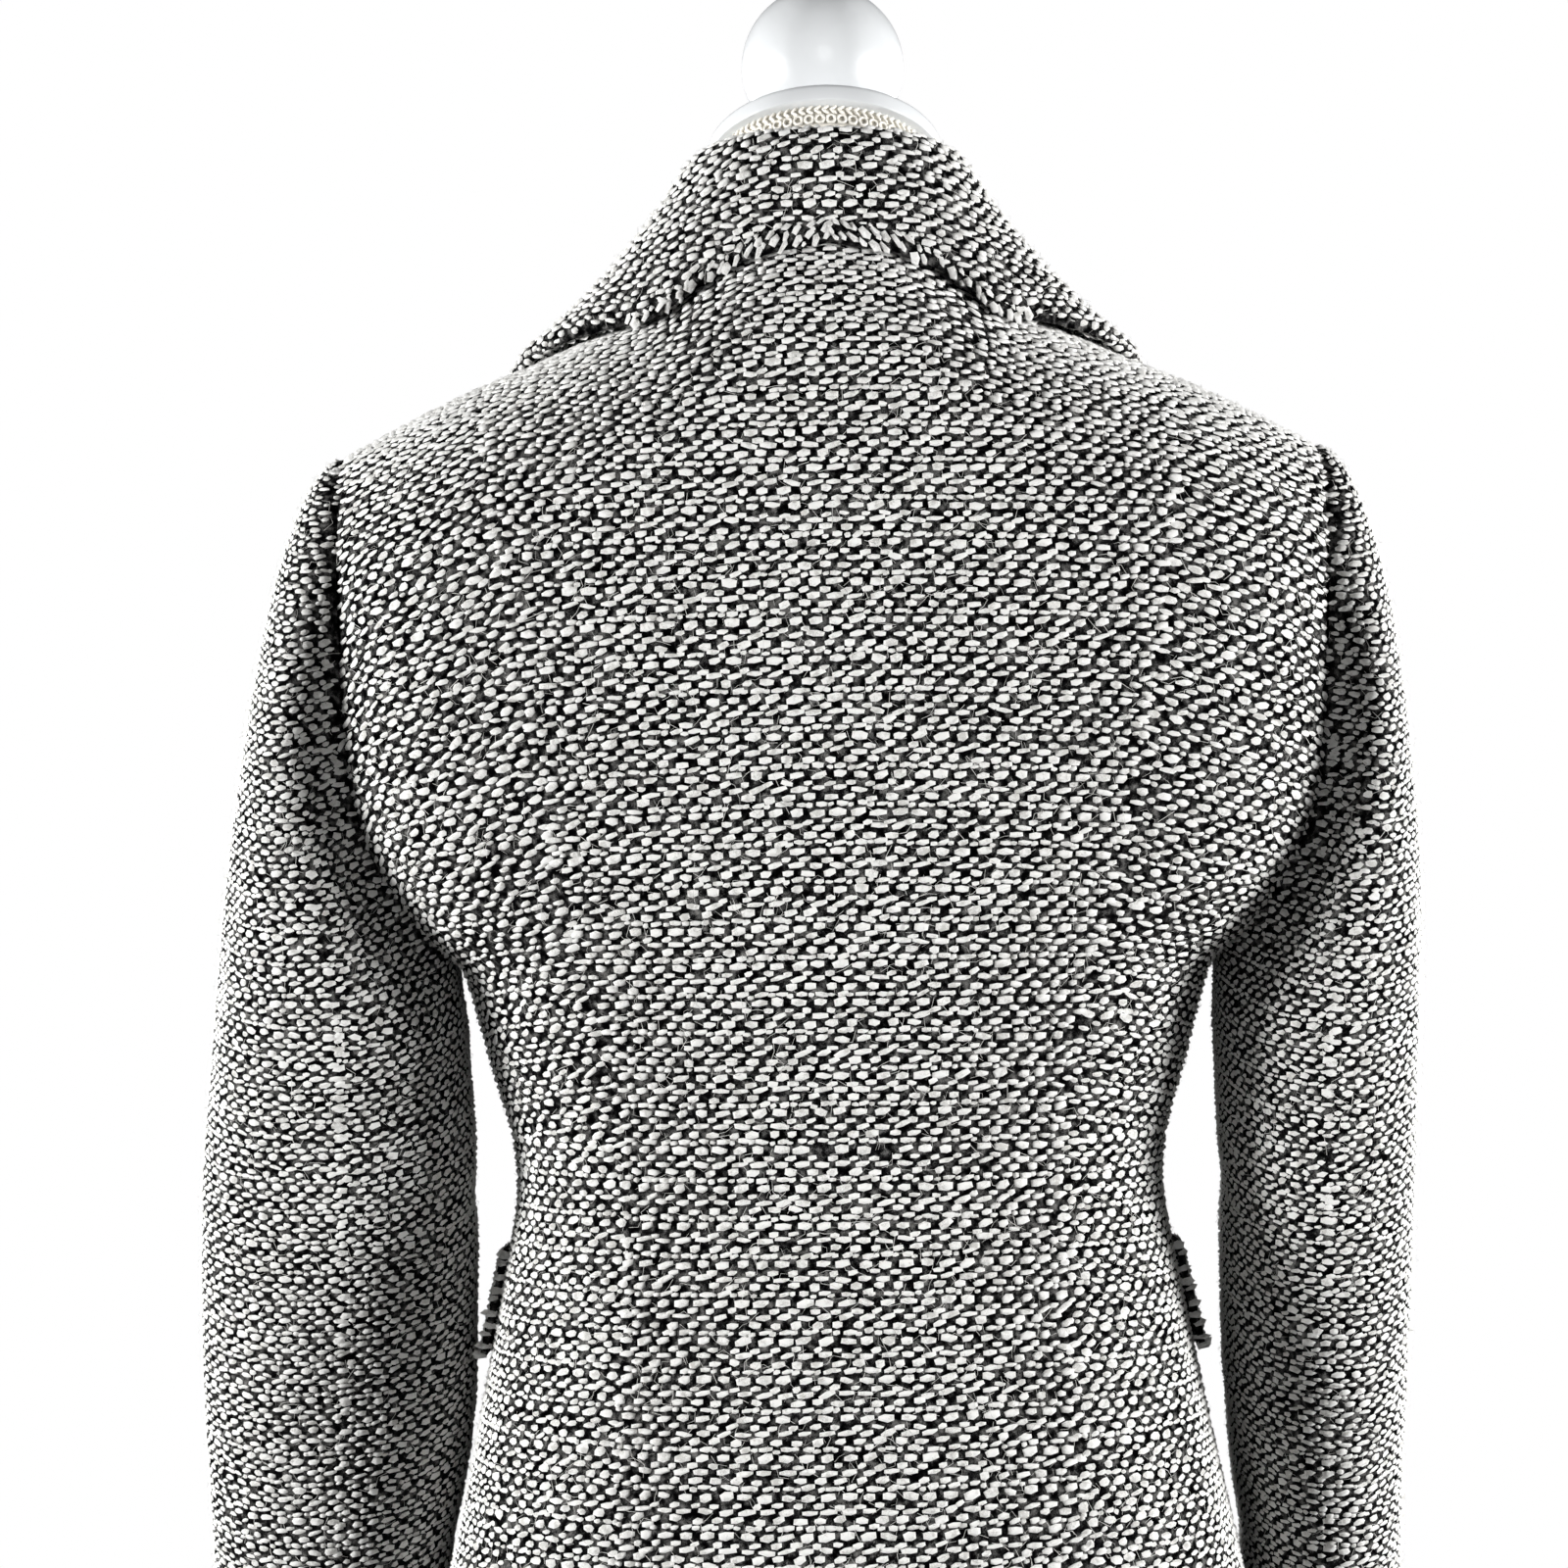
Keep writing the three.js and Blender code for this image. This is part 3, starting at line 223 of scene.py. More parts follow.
# Creases of a sleeve: place round it (0 outside, 0.5 back, 1 inside, 1.5 front), then as above.
SLEEVE_CREASES = (
    (0.62, -118, 24, 46, 8, -2.2), (0.45, -168, -12, 44, 9, -1.5), (0.58, -232, 16, 40, 9, -1.7),
    (0.3, -262, -10, 38, 9, -1.2), (0.5, -322, 9, 40, 10, -1.3), (0.22, -388, -14, 36, 9, -1.0),
    (0.15, -60, 74, 60, 10, -1.3), (0.42, -20, 66, 55, 10, -1.4), (1.52, -210, 14, 42, 9, -1.9),
    (1.4, -240, -11, 44, 8, -1.8), (1.6, -270, 10, 40, 9, -1.6), (1.48, -330, -8, 38, 10, -1.1),
    (1.75, -120, 30, 46, 9, -1.4), (1.9, -190, -22, 40, 10, -0.9), (1.1, -150, 18, 40, 9, -1.6),
    (1.05, -290, -12, 42, 10, -1.2),
)


def signed_power(value: Grid, power: Grid | float) -> Grid:
    """The value's sign times a power of its size."""
    return np.sign(value) * np.abs(value) ** power


def unit(vectors: Grid) -> Grid:
    """Vectors brought to length 1, along the last axis."""
    return vectors / np.maximum(np.linalg.norm(vectors, axis=-1, keepdims=True), 1e-9)


def mix(start: Grid | float, end: Grid | float, share: Grid | float) -> Grid:
    """A value part of the way from start to end."""
    return start + (end - start) * share


def smooth_step(value: Grid, low: float, high: float) -> Grid:
    """0 below low, 1 above high and a soft rise between them."""
    t = np.clip((value - low) / (high - low), 0, 1)
    return t * t * (3 - 2 * t)


def turned_by(x: Grid, y: Grid, degrees: float) -> tuple[Grid, Grid]:
    """Places read in axes that are turned by an angle."""
    c, s = math.cos(math.radians(degrees)), math.sin(math.radians(degrees))
    return x * c + y * s, -x * s + y * c


def slanted(out: Grid, across: Grid, angle: Grid) -> Grid:
    """Directions on a face, turned by an angle from the one across the grain."""
    side = np.cross(out, across)
    return across * np.cos(angle)[:, None] + side * np.sin(angle)[:, None]


def gentle(across: Grid, along: Grid, creases: tuple, reach: float) -> Grid:
    """Height of soft creases at places on the cloth.

    Args:
        across: Places round the piece, in the creases' own unit.
        along: Heights in mm.
        creases: Rows of a crease table.
        reach: Millimetres in one unit of across.

    Returns:
        How far the cloth stands out, in mm.
    """
    out = np.zeros(np.broadcast(across, along).shape)
    for centre, up, slope, length, width, depth in creases:
        a, b = turned_by((across - centre) * reach, along - up, slope)
        bend = b + 0.004 * a * a
        out += depth * np.exp(-((a / length) ** 2) - (bend / width) ** 2)
    return out


class WornShape:
    """The outer face of the worn cloth, by a turn round the body and a rise up it."""

    def ridge_up(self, turn: Grid) -> Grid:
        """Height of the shoulder line at a turn."""
        sine = np.abs(np.sin(np.radians(turn)))
        return SHOULDER.at(SHOULDER_HALF * sine ** (2 / SHOULDER_SQUARE), "up")

    def place(self, turn: Grid, rise: Grid) -> Grid:
        """Points of the outer face.

        Args:
            turn: Degrees from the centre back through the side to the centre front.
            rise: Height from where the cloth starts to round over the shoulder.

        Returns:
            Points in mm, on a last axis of 3.
        """
        turn, rise = np.broadcast_arrays(np.asarray(turn, float), np.asarray(rise, float))
        start = self.ridge_up(turn) - SHOULDER_ROUND
        lean = np.maximum(rise, 0) / SHOULDER_ROUND * math.pi / 2
        up = start + np.where(rise > 0, SHOULDER_ROUND * np.sin(lean), rise)
        power = 2 / BODY.at(up, "square")
        cosine = np.cos(np.radians(turn))
        depth = np.where(cosine > 0, BODY.at(up, "back"), BODY.at(up, "front"))
        x = BODY.at(up, "half") * signed_power(np.sin(np.radians(turn)), power)
        y = depth * signed_power(cosine, power) * np.cos(lean)
        return np.stack([x, y, BUST_LINE + up], axis=-1)

    def normal(self, turn: Grid, rise: Grid) -> Grid:
        """Outward directions at places on the body.

        Args:
            turn: Degrees from the centre back.
            rise: Height from where the shoulder starts to round.

        Returns:
            Unit vectors.
        """
        e = RISE_STEP
        around = self.place(turn + e, rise) - self.place(turn - e, rise)
        climb = self.place(turn, np.minimum(rise + e, SHOULDER_ROUND)) - self.place(turn, rise - e)
        return unit(np.cross(climb, around))

    def rise_at(self, turn: Grid, up: Grid | float) -> Grid:
        """The rise at a height, for a turn.

        Args:
            turn: Degrees from the centre back.
            up: Height from the bust line.

        Returns:
            The rise, which slows down over the shoulder's round.
        """
        above = up - self.ridge_up(turn) + SHOULDER_ROUND
        round_part = np.arcsin(np.clip(above / SHOULDER_ROUND, 0, 1)) / (math.pi / 2)
        return np.where(above <= 0, above, round_part * SHOULDER_ROUND)

    def turn_at(self, out: Grid | float, up: Grid | float, front: bool) -> Grid:
        """The turn at a distance out from the centre line, at a height.

        Args:
            out: Distance in mm, below 0 on the other side.
            up: Height from the bust line.
            front: Whether it is on the front.

        Returns:
            Degrees from the centre back.
        """
        ratio = np.minimum(np.abs(out) / BODY.at(up, "half"), 1)
        turn = np.degrees(np.arcsin(ratio ** (BODY.at(up, "square") / 2)))
        side = np.where(np.asarray(out) < 0, -1.0, 1.0)
        return 180 - side * turn if front else side * turn

    def share_of(self, turn: Grid, rise: Grid) -> Grid:
        """How far a place lies from the waist seam to the shoulder line."""
        waist = self.rise_at(turn, WAIST_UP)
        return (rise - waist) / (SHOULDER_ROUND - waist)

    def rise_of(self, turn: Grid, share: Grid) -> Grid:
        """The rise at a share of the way from the waist seam to the shoulder line."""
        return mix(self.rise_at(turn, WAIST_UP), SHOULDER_ROUND, share)

    def crease(self, turn: Grid, rise: Grid) -> Grid:
        """Height of the soft creases of the body there."""
        up = self.place(turn, rise)[..., 2] - BUST_LINE
        return gentle(turn, up, BODY_CREASES, MM_PER_DEGREE)


WORN = WornShape()


class Armhole:
    """Both halves of an armhole, by the share of their length from the shoulder tip."""

    def __init__(self) -> None:
        """Measures both halves."""
        self.halves = {}
        for front, table in ((False, ARMHOLE_BACK), (True, ARMHOLE_FRONT)):
            step = np.linspace(0, 7, 400)
            turn, up = table.at(step, "turn"), table.at(step, "up")
            rise = WORN.rise_at(turn, up)
            hops = np.linalg.norm(np.diff(WORN.place(turn, rise), axis=0), axis=-1)
            length = np.concatenate([[0], np.cumsum(hops)])
            self.halves[front] = (length / length[-1], turn, rise)

    def share(self, step: Grid) -> Grid:
        """Share of the length at a step of the grid, closer together over the shoulder."""
        return np.interp(step, [0, HIGH_STEPS, HIGH_STEPS + LOW_STEPS], [0, HIGH_SHARE, 1])

    def at(self, share: Grid, front: bool) -> tuple[Grid, Grid]:
        """Turn and rise at a share of a half."""
        lengths, turn, rise = self.halves[front]
        return np.interp(share, lengths, turn), np.interp(share, lengths, rise)


ARMHOLE = Armhole()


@dataclass
class Face:
    """The outer face of a piece as a fine grid, and its flat chart along the grain."""

    points: Grid
    normals: Grid
    centre: float = 0.5
    grain: float = 0.0
    groove: float = 0.3
    groove_reach: float = 1.8
    level: Grid | None = None
    base_row: int = 0
    tube: bool = False
    lean: float = 0.0
    across: Grid = field(init=False)
    along: Grid = field(init=False)
    border: Grid = field(init=False)

    def __post_init__(self) -> None:
        """Charts the face, and sinks its borders a little, as a seam does."""
        p = self.points
        down = np.linalg.norm(np.diff(p, axis=0), axis=-1)
        side = np.linalg.norm(np.diff(p, axis=1), axis=-1)
        v = np.vstack([np.zeros((1, p.shape[1])), np.cumsum(down, axis=0)])
        u = np.hstack([np.zeros((p.shape[0], 1)), np.cumsum(side, axis=1)])
        edge_u = np.minimum(u, u[:, -1:] - u)
        edge_v = np.minimum(v, v[-1:] - v)
        self.border = np.minimum(edge_u, edge_v)
        middle = int(self.centre * (p.shape[1] - 1))
        u = u - u[:, middle][:, None]
        if self.tube:
            u, v = self.levelled(middle)
        elif self.level is not None:
            u, v = self.plumb(middle)
        else:
            v = v - v[self.base_row]
        self.across, self.along = turned_by(u, v, self.grain)
        sunk = self.groove * np.exp(-((self.border / self.groove_reach) ** 2))
        self.points = p - self.normals * sunk[..., None]

    def plumb(self, middle: int) -> tuple[Grid, Grid]:
        """Charts the face with its grain hanging plumb, from the middle column outwards.

        Args:
            middle: Number of the middle column.

        Returns:
            Places across and along the grain, in mm.
        """
        p, n = self.points, self.normals
        t = unit(self.level - n * np.sum(self.level * n, axis=-1, keepdims=True))
        g = np.cross(t, n)
        g = g * np.where(g[..., 2:].mean() < 0, -1.0, 1.0)

        def walked(axis: int, along: Grid) -> Grid:
            """Steps down the rows (0) or across the columns (1), measured in a direction."""
            middle_way = (np.delete(along, 0, axis) + np.delete(along, -1, axis)) / 2
            return np.sum(np.diff(p, axis=axis) * middle_way, axis=-1)

        wide, tall = np.zeros((len(p), 1)), np.zeros((1, p.shape[1]))
        lean = np.concatenate([[0], np.cumsum(walked(0, t)[:, middle])])
        steps = np.hstack([wide, np.cumsum(walked(1, t), axis=1)])
        u = (lean - lean[self.base_row])[:, None] + steps - steps[:, middle][:, None]
        climb = np.vstack([tall, np.cumsum(walked(0, g), axis=0)])
        foot = np.concatenate([[0], np.cumsum(walked(1, g)[self.base_row])])
        v = climb - climb[self.base_row] + foot - foot[middle]
        return u, v

    def levelled(self, middle: int) -> tuple[Grid, Grid]:
        """Charts a tube that hangs plumb: round it at each height, and up its middle column.

        Args:
            middle: Number of the middle column.

        Returns:
            Places across and along the grain, in mm.
        """
        p = self.points
        p = np.concatenate([p, p[-1:] + unit(p[-1:] - p[-3:-2]) * PAST_END])
        height = p[..., 2] + p[..., 1] * self.lean
        levels = np.linspace(height.min(), height.max(), CHART_LEVELS)
        rings = np.stack(
            [
                [np.interp(levels, height[::-1, j], p[::-1, j, k]) for k in range(3)]
                for j in range(p.shape[1])
            ],
            axis=1,
        )
        hops = np.linalg.norm(np.diff(rings, axis=1), axis=0)
        round_it = np.vstack([np.zeros((1, len(levels))), np.cumsum(hops, axis=0)])
        round_it = round_it - round_it[middle]
        column = p[::-1, middle]
        path = np.concatenate([[0], np.cumsum(np.linalg.norm(np.diff(column, axis=0), axis=-1))])
        u = np.stack(
            [np.interp(height[:-1, j], levels, round_it[j]) for j in range(p.shape[1])], axis=1
        )
        return u, np.interp(height[:-1], height[::-1, middle], path)

    def flat_size(self) -> tuple[float, float, float]:
        """Measures the flat piece.

        Returns:
            Sides of the smallest rectangle that it is cut from, and its area, in metres.
        """
        p = self.points
        cells = np.linalg.norm(
            np.cross(p[1:, :-1] - p[:-1, :-1], p[:-1, 1:] - p[:-1, :-1]), axis=-1
        ).sum()
        boxes = []
        for degrees in range(0, 90, 3):
            x, y = turned_by(self.across, self.along, degrees)
            boxes.append((float(np.ptp(x)) * MM, float(np.ptp(y)) * MM))
        width, length = min(boxes, key=lambda box: box[0] * box[1])
        return width, length, float(cells) * MM * MM

    def chart(self) -> Grid:
        """The flat chart for the piece's own map, from 0 to 1."""
        sides = [(side - side.min()) / np.ptp(side) for side in (self.across, self.along)]
        return np.stack(sides, axis=-1)


def sampled(grid: Grid, s: Grid, t: Grid) -> Grid:
    """Values of a grid at places between its rows and columns.

    Args:
        grid: The grid.
        s: Places along its rows.
        t: Places along its columns.

    Returns:
        The values there.
    """
    i = np.clip(np.floor(s).astype(int), 0, grid.shape[0] - 2)
    j = np.clip(np.floor(t).astype(int), 0, grid.shape[1] - 2)
    a, b = s - i, t - j
    if grid.ndim == 3:
        a, b = a[:, None], b[:, None]
    low = grid[i, j] * (1 - b) + grid[i, j + 1] * b
    high = grid[i + 1, j] * (1 - b) + grid[i + 1, j + 1] * b
    return low * (1 - a) + high * a


def found(face: Face, u: Grid, v: Grid, reach: float) -> tuple[Grid, Grid, Grid]:
    """Where flat chart points lie on the grid of a face.

    Args:
        face: The charted face.
        u: Places across the grain, in mm.
        v: Places along the grain, in mm.
        reach: How far outside the face a point may lie to be drawn in to its border, in mm.

    Returns:
        Row and column of each point, and whether it belongs to the face.
    """
    rows, columns = face.across.shape
    coarse_u, coarse_v = face.across[::3, ::3], face.along[::3, ::3]
    s = np.empty_like(u)
    t = np.empty_like(v)
    for k in range(0, len(u), SEARCH_PART):
        part = slice(k, k + SEARCH_PART)
        gap = (coarse_u.ravel()[None] - u[part, None]) ** 2
        gap += (coarse_v.ravel()[None] - v[part, None]) ** 2
        near = gap.argmin(axis=1)
        s[part] = near // coarse_u.shape[1] * 3
        t[part] = near % coarse_u.shape[1] * 3
    for turn in range(SEARCH_TURNS):
        ease = 1.0 if turn < QUICK_TURNS else 0.6
        u0, v0 = sampled(face.across, s, t), sampled(face.along, s, t)
        us, ut = sampled(face.across, s + 0.5, t) - u0, sampled(face.across, s, t + 0.5) - u0
        vs, vt = sampled(face.along, s + 0.5, t) - v0, sampled(face.along, s, t + 0.5) - v0
        det = us * vt - ut * vs
        det = np.where(np.abs(det) < 1e-6, 1e-6, det)
        du, dv = u - u0, v - v0
        s = np.clip(s + np.clip(ease * 0.5 * (du * vt - dv * ut) / det, -3, 3), -1, rows)
        t = np.clip(t + np.clip(ease * 0.5 * (dv * us - du * vs) / det, -3, 3), -1, columns)
    s, t = np.clip(s, 0, rows - 1), np.clip(t, 0, columns - 1)
    miss = np.hypot(sampled(face.across, s, t) - u, sampled(face.along, s, t) - v)
    return s, t, miss < reach


def in_scene(name: str, mesh: bpy.types.Mesh) -> bpy.types.Object:
    """Puts a mesh in the scene, shaded smooth.

    Args:
        name: Name of the piece.
        mesh: Its mesh.

    Returns:
        The object, at the origin.
    """
    mesh.polygons.foreach_set("use_smooth", [True] * len(mesh.polygons))
    piece = bpy.data.objects.new(name, mesh)
    bpy.context.collection.objects.link(piece)
    return piece


def mesh_object(name: str, points: Grid, faces: list | Grid) -> bpy.types.Object:
    """A mesh object at the origin.

    Args:
        name: Name of the piece.
        points: Its corners in mm.
        faces: Corner numbers of each face.

    Returns:
        The object, linked to the scene.
    """
    mesh = bpy.data.meshes.new(name)
    corners = [[int(i) for i in face] for face in faces]
    mesh.from_pydata((np.asarray(points).reshape(-1, 3) * MM).tolist(), [], corners)
    mesh.update()
    return in_scene(name, mesh)


def evaluated(piece: bpy.types.Object) -> bpy.types.Mesh:
    """A piece's mesh with its modifiers applied."""
    depsgraph = bpy.context.evaluated_depsgraph_get()
    return bpy.data.meshes.new_from_object(piece.evaluated_get(depsgraph), depsgraph=depsgraph)


def mapped(mesh: bpy.types.Mesh, chart: Grid) -> None:
    """Gives a mesh its own map.

    Args:
        mesh: The mesh.
        chart: Place on the map of each corner point.
    """
    corners = np.empty(len(mesh.loops), int)
    mesh.loops.foreach_get("vertex_index", corners)
    layer = mesh.uv_layers.new(name="OFBake")
    layer.data.foreach_set("uv", chart[corners].ravel())


def grid_faces(rows: int, columns: int, closed: bool = False) -> Grid:
    """Squares of a grid.

    Args:
        rows: Its rows of points.
        columns: Its columns of points.
        closed: Whether the last column joins the first.

    Returns:
        Corner numbers of each square.
    """
    wide = columns if closed else columns - 1
    j, i = np.meshgrid(np.arange(rows - 1), np.arange(wide), indexing="ij")
    n = (i + 1) % columns
    return np.stack(
        [j * columns + i, j * columns + n, (j + 1) * columns + n, (j + 1) * columns + i], axis=-1
    ).reshape(-1, 4)


def shell(name: str, face: Face, thickness: float = CLOTH) -> bpy.types.Object:
    """A closed thin wall of cloth under a face, with the face's chart as its map.

    Args:
        name: Name of the piece.
        face: Its outer face.
        thickness: Thickness of the cloth in mm.

    Returns:
        The wall.
    """
    rows, columns = face.points.shape[:2]
    outer = grid_faces(rows, columns)
    p, n = face.points, face.normals
    j, i = rows // 2, columns // 2
    cell = np.cross(p[j, i + 1] - p[j, i], p[j + 1, i] - p[j, i])
    if np.dot(cell, n[j, i]) < 0:
        outer = outer[:, ::-1]
    count = rows * columns
    loop = np.concatenate([
        np.arange(columns),
        np.arange(1, rows) * columns + columns - 1,
        (rows - 1) * columns + np.arange(columns - 2, -1, -1),
        np.arange(rows - 2, 0, -1) * columns,
    ])
    after = np.roll(loop, -1)
    rim = np.stack([loop, after, after + count, loop + count], axis=-1)
    first = outer[0]
    if not any(first[k] == loop[1] and first[(k + 1) % 4] == loop[0] for k in range(4)):
        rim = rim[:, ::-1]
    faces = np.vstack([outer, outer[:, ::-1] + count, rim])
    piece = mesh_object(name, np.vstack([p.reshape(-1, 3), (p - n * thickness).reshape(-1, 3)]), faces)
    piece.data.set_sharp_from_angle(angle=math.radians(50))
    mapped(piece.data, np.tile(face.chart().reshape(-1, 2), (2, 1)))
    work = bmesh.new()
    work.from_mesh(piece.data)
    bmesh.ops.recalc_face_normals(work, faces=work.faces)
    work.to_mesh(piece.data)
    work.free()
    return piece


class Shader:
    """A material's node tree, with short words for what the finishes use."""

    def __init__(self, name: str) -> None:
        """Starts a material with its principled shader.

        Args:
            name: Name of the material.
        """
        self.material = bpy.data.materials.new(name)
        self.material.use_nodes = True
        self.nodes = self.material.node_tree.nodes
        self.links = self.material.node_tree.links
        self.main = self.nodes["Principled BSDF"]

    def node(self, kind: str, inputs: dict | None = None, **settings: object) -> bpy.types.Node:
        """Adds a node.

        Args:
            kind: Type of the node.
            inputs: Values or sockets by the name of the input.
            **settings: Settings of the node itself.

        Returns:
            The node.
        """
        made = self.nodes.new(kind)
        for word, value in settings.items():
            setattr(made, word, value)
        for word, value in (inputs or {}).items():
            self.fill(made.inputs[word], value)
        return made

    def fill(self, socket: bpy.types.NodeSocket, value: object) -> None:
        """Fills a socket.

        Args:
            socket: The socket.
            value: Its value, or a socket to link to it.
        """
        if isinstance(value, bpy.types.NodeSocket):
            self.links.new(value, socket)
        else:
            socket.default_value = value

    def place(self) -> bpy.types.NodeSocket:
        """The piece's own coordinates."""
        return self.node("ShaderNodeTexCoord").outputs["Object"]

    def noise(
        self, place: bpy.types.NodeSocket, scale: float, detail: float, **more: float
    ) -> bpy.types.Node:
        """Adds a noise of a scale and a detail, with other inputs by name."""
        inputs = {"Vector": place, "Scale": scale, "Detail": detail, **more}
        return self.node("ShaderNodeTexNoise", inputs)

    def mean(self, first: bpy.types.Node, second: bpy.types.Node) -> bpy.types.NodeSocket:
        """The mean of two noises."""
        both = self.maths("ADD", first.outputs["Fac"], second.outputs["Fac"])
        return self.maths("MULTIPLY", both, 0.5)

    def maths(self, operation: str, first: object, second: object) -> bpy.types.NodeSocket:
        """The outcome of an operation on two sockets or numbers."""
        return self.node("ShaderNodeMath", {0: first, 1: second}, operation=operation).outputs[0]

    def ramp(self, factor: bpy.types.NodeSocket, stops: tuple) -> bpy.types.NodeSocket:
        """Colours a factor by a ramp.

        Args:
            factor: The factor.
            stops: Place and colour of each stop.

        Returns:
            The colour.
        """
        made = self.node("ShaderNodeValToRGB", {"Fac": factor})
        while len(made.color_ramp.elements) < len(stops):
            made.color_ramp.elements.new(0.5)
        for element, (place, colour) in zip(made.color_ramp.elements, stops):
            element.position = place
            element.color = (*colour, 1)
        return made.outputs["Color"]

    def bump(self, height: bpy.types.NodeSocket, strength: float, distance: float) -> None:
        """Raises the surface by a height."""
        inputs = {"Height": height, "Strength": strength, "Distance": distance}
        self.set(Normal=self.node("ShaderNodeBump", inputs).outputs["Normal"])

    def set(self, **values: object) -> None:
        """Fills the main shader's sockets, each by its name with _ for a space."""
        for word, value in values.items():
            self.fill(self.main.inputs[word.replace("_", " ")], value)


@dataclass(frozen=True)
class GroundFinish:
    """The dark, fuzzy ground of the boucle."""

    dark: tuple[float, float, float] = (0.001, 0.001, 0.0012)
    mid: tuple[float, float, float] = (0.018, 0.018, 0.018)
    pale: tuple[float, float, float] = (0.11, 0.108, 0.105)
    light: tuple[float, float, float] = (0.3, 0.295, 0.28)
    bumpy: float = 0.0009

    def make(self) -> bpy.types.Material:
        """Builds the material.

        Returns:
            The finished material.
        """
        s = Shader("boucle_ground")
        place = s.place()
        bent = s.noise(place, 420.0, 2.0)
        moved = s.node(
            "ShaderNodeMix", {"Factor": 0.0022, "A": place, "B": bent.outputs["Color"]},
            data_type="VECTOR",
        )
        fibres = s.noise(moved.outputs["Result"], 1500.0, 4.0, Roughness=0.75, Distortion=1.6)
        patches = s.noise(place, 330.0, 1.0)
        colour = s.ramp(
            s.mean(fibres, patches),
            ((0.44, self.dark), (0.52, self.mid), (0.58, self.pale), (0.7, self.light)),
        )
        s.set(Base_Color=colour, Roughness=1.0, Specular_IOR_Level=0.0)
        s.bump(fibres.outputs["Fac"], 1.0, self.bumpy)
        return s.material


@dataclass(frozen=True)
class YarnFinish:
    """The off-white wool of the raised yarn, or of its loose hairs."""

    name: str = "wool_yarn"
    low: tuple[float, float, float] = (0.62, 0.61, 0.58)
    high: tuple[float, float, float] = (0.93, 0.925, 0.9)
    bumpy: float = 0.0006

    def make(self) -> bpy.types.Material:
        """Builds the material.

        Returns:
            The finished material.
        """
        s = Shader(self.name)
        hairs = s.noise(s.place(), 1700.0, 3.0, Roughness=0.7, Distortion=1.2)
        large = s.noise(s.place(), 260.0, 1.0)
        colour = s.ramp(s.mean(hairs, large), ((0.4, self.low), (0.5, self.high)))
        s.set(Base_Color=colour, Roughness=0.9, Sheen_Weight=0.3, Sheen_Roughness=0.5)
        s.bump(hairs.outputs["Fac"], 1.0, self.bumpy)
        return s.material


@dataclass(frozen=True)
class PlainFinish:
    """A finish of one colour."""

    name: str
    colour: tuple[float, float, float]
    rough: float
    coat: float = 0.0
    grain: float = 0.0
    grain_scale: float = 900.0
    grain_strength: float = 0.7
    coat_rough: float = 0.06

    def make(self) -> bpy.types.Material:
        """Builds the material.

        Returns:
            The finished material.
        """
        s = Shader(self.name)
        s.set(Base_Color=(*self.colour, 1), Roughness=self.rough, Coat_Weight=self.coat)
        s.set(Coat_Roughness=self.coat_rough)
        if self.grain:
            noise = s.noise(s.place(), self.grain_scale, 3.0)
            s.bump(noise.outputs["Fac"], self.grain_strength, self.grain)
        return s.material


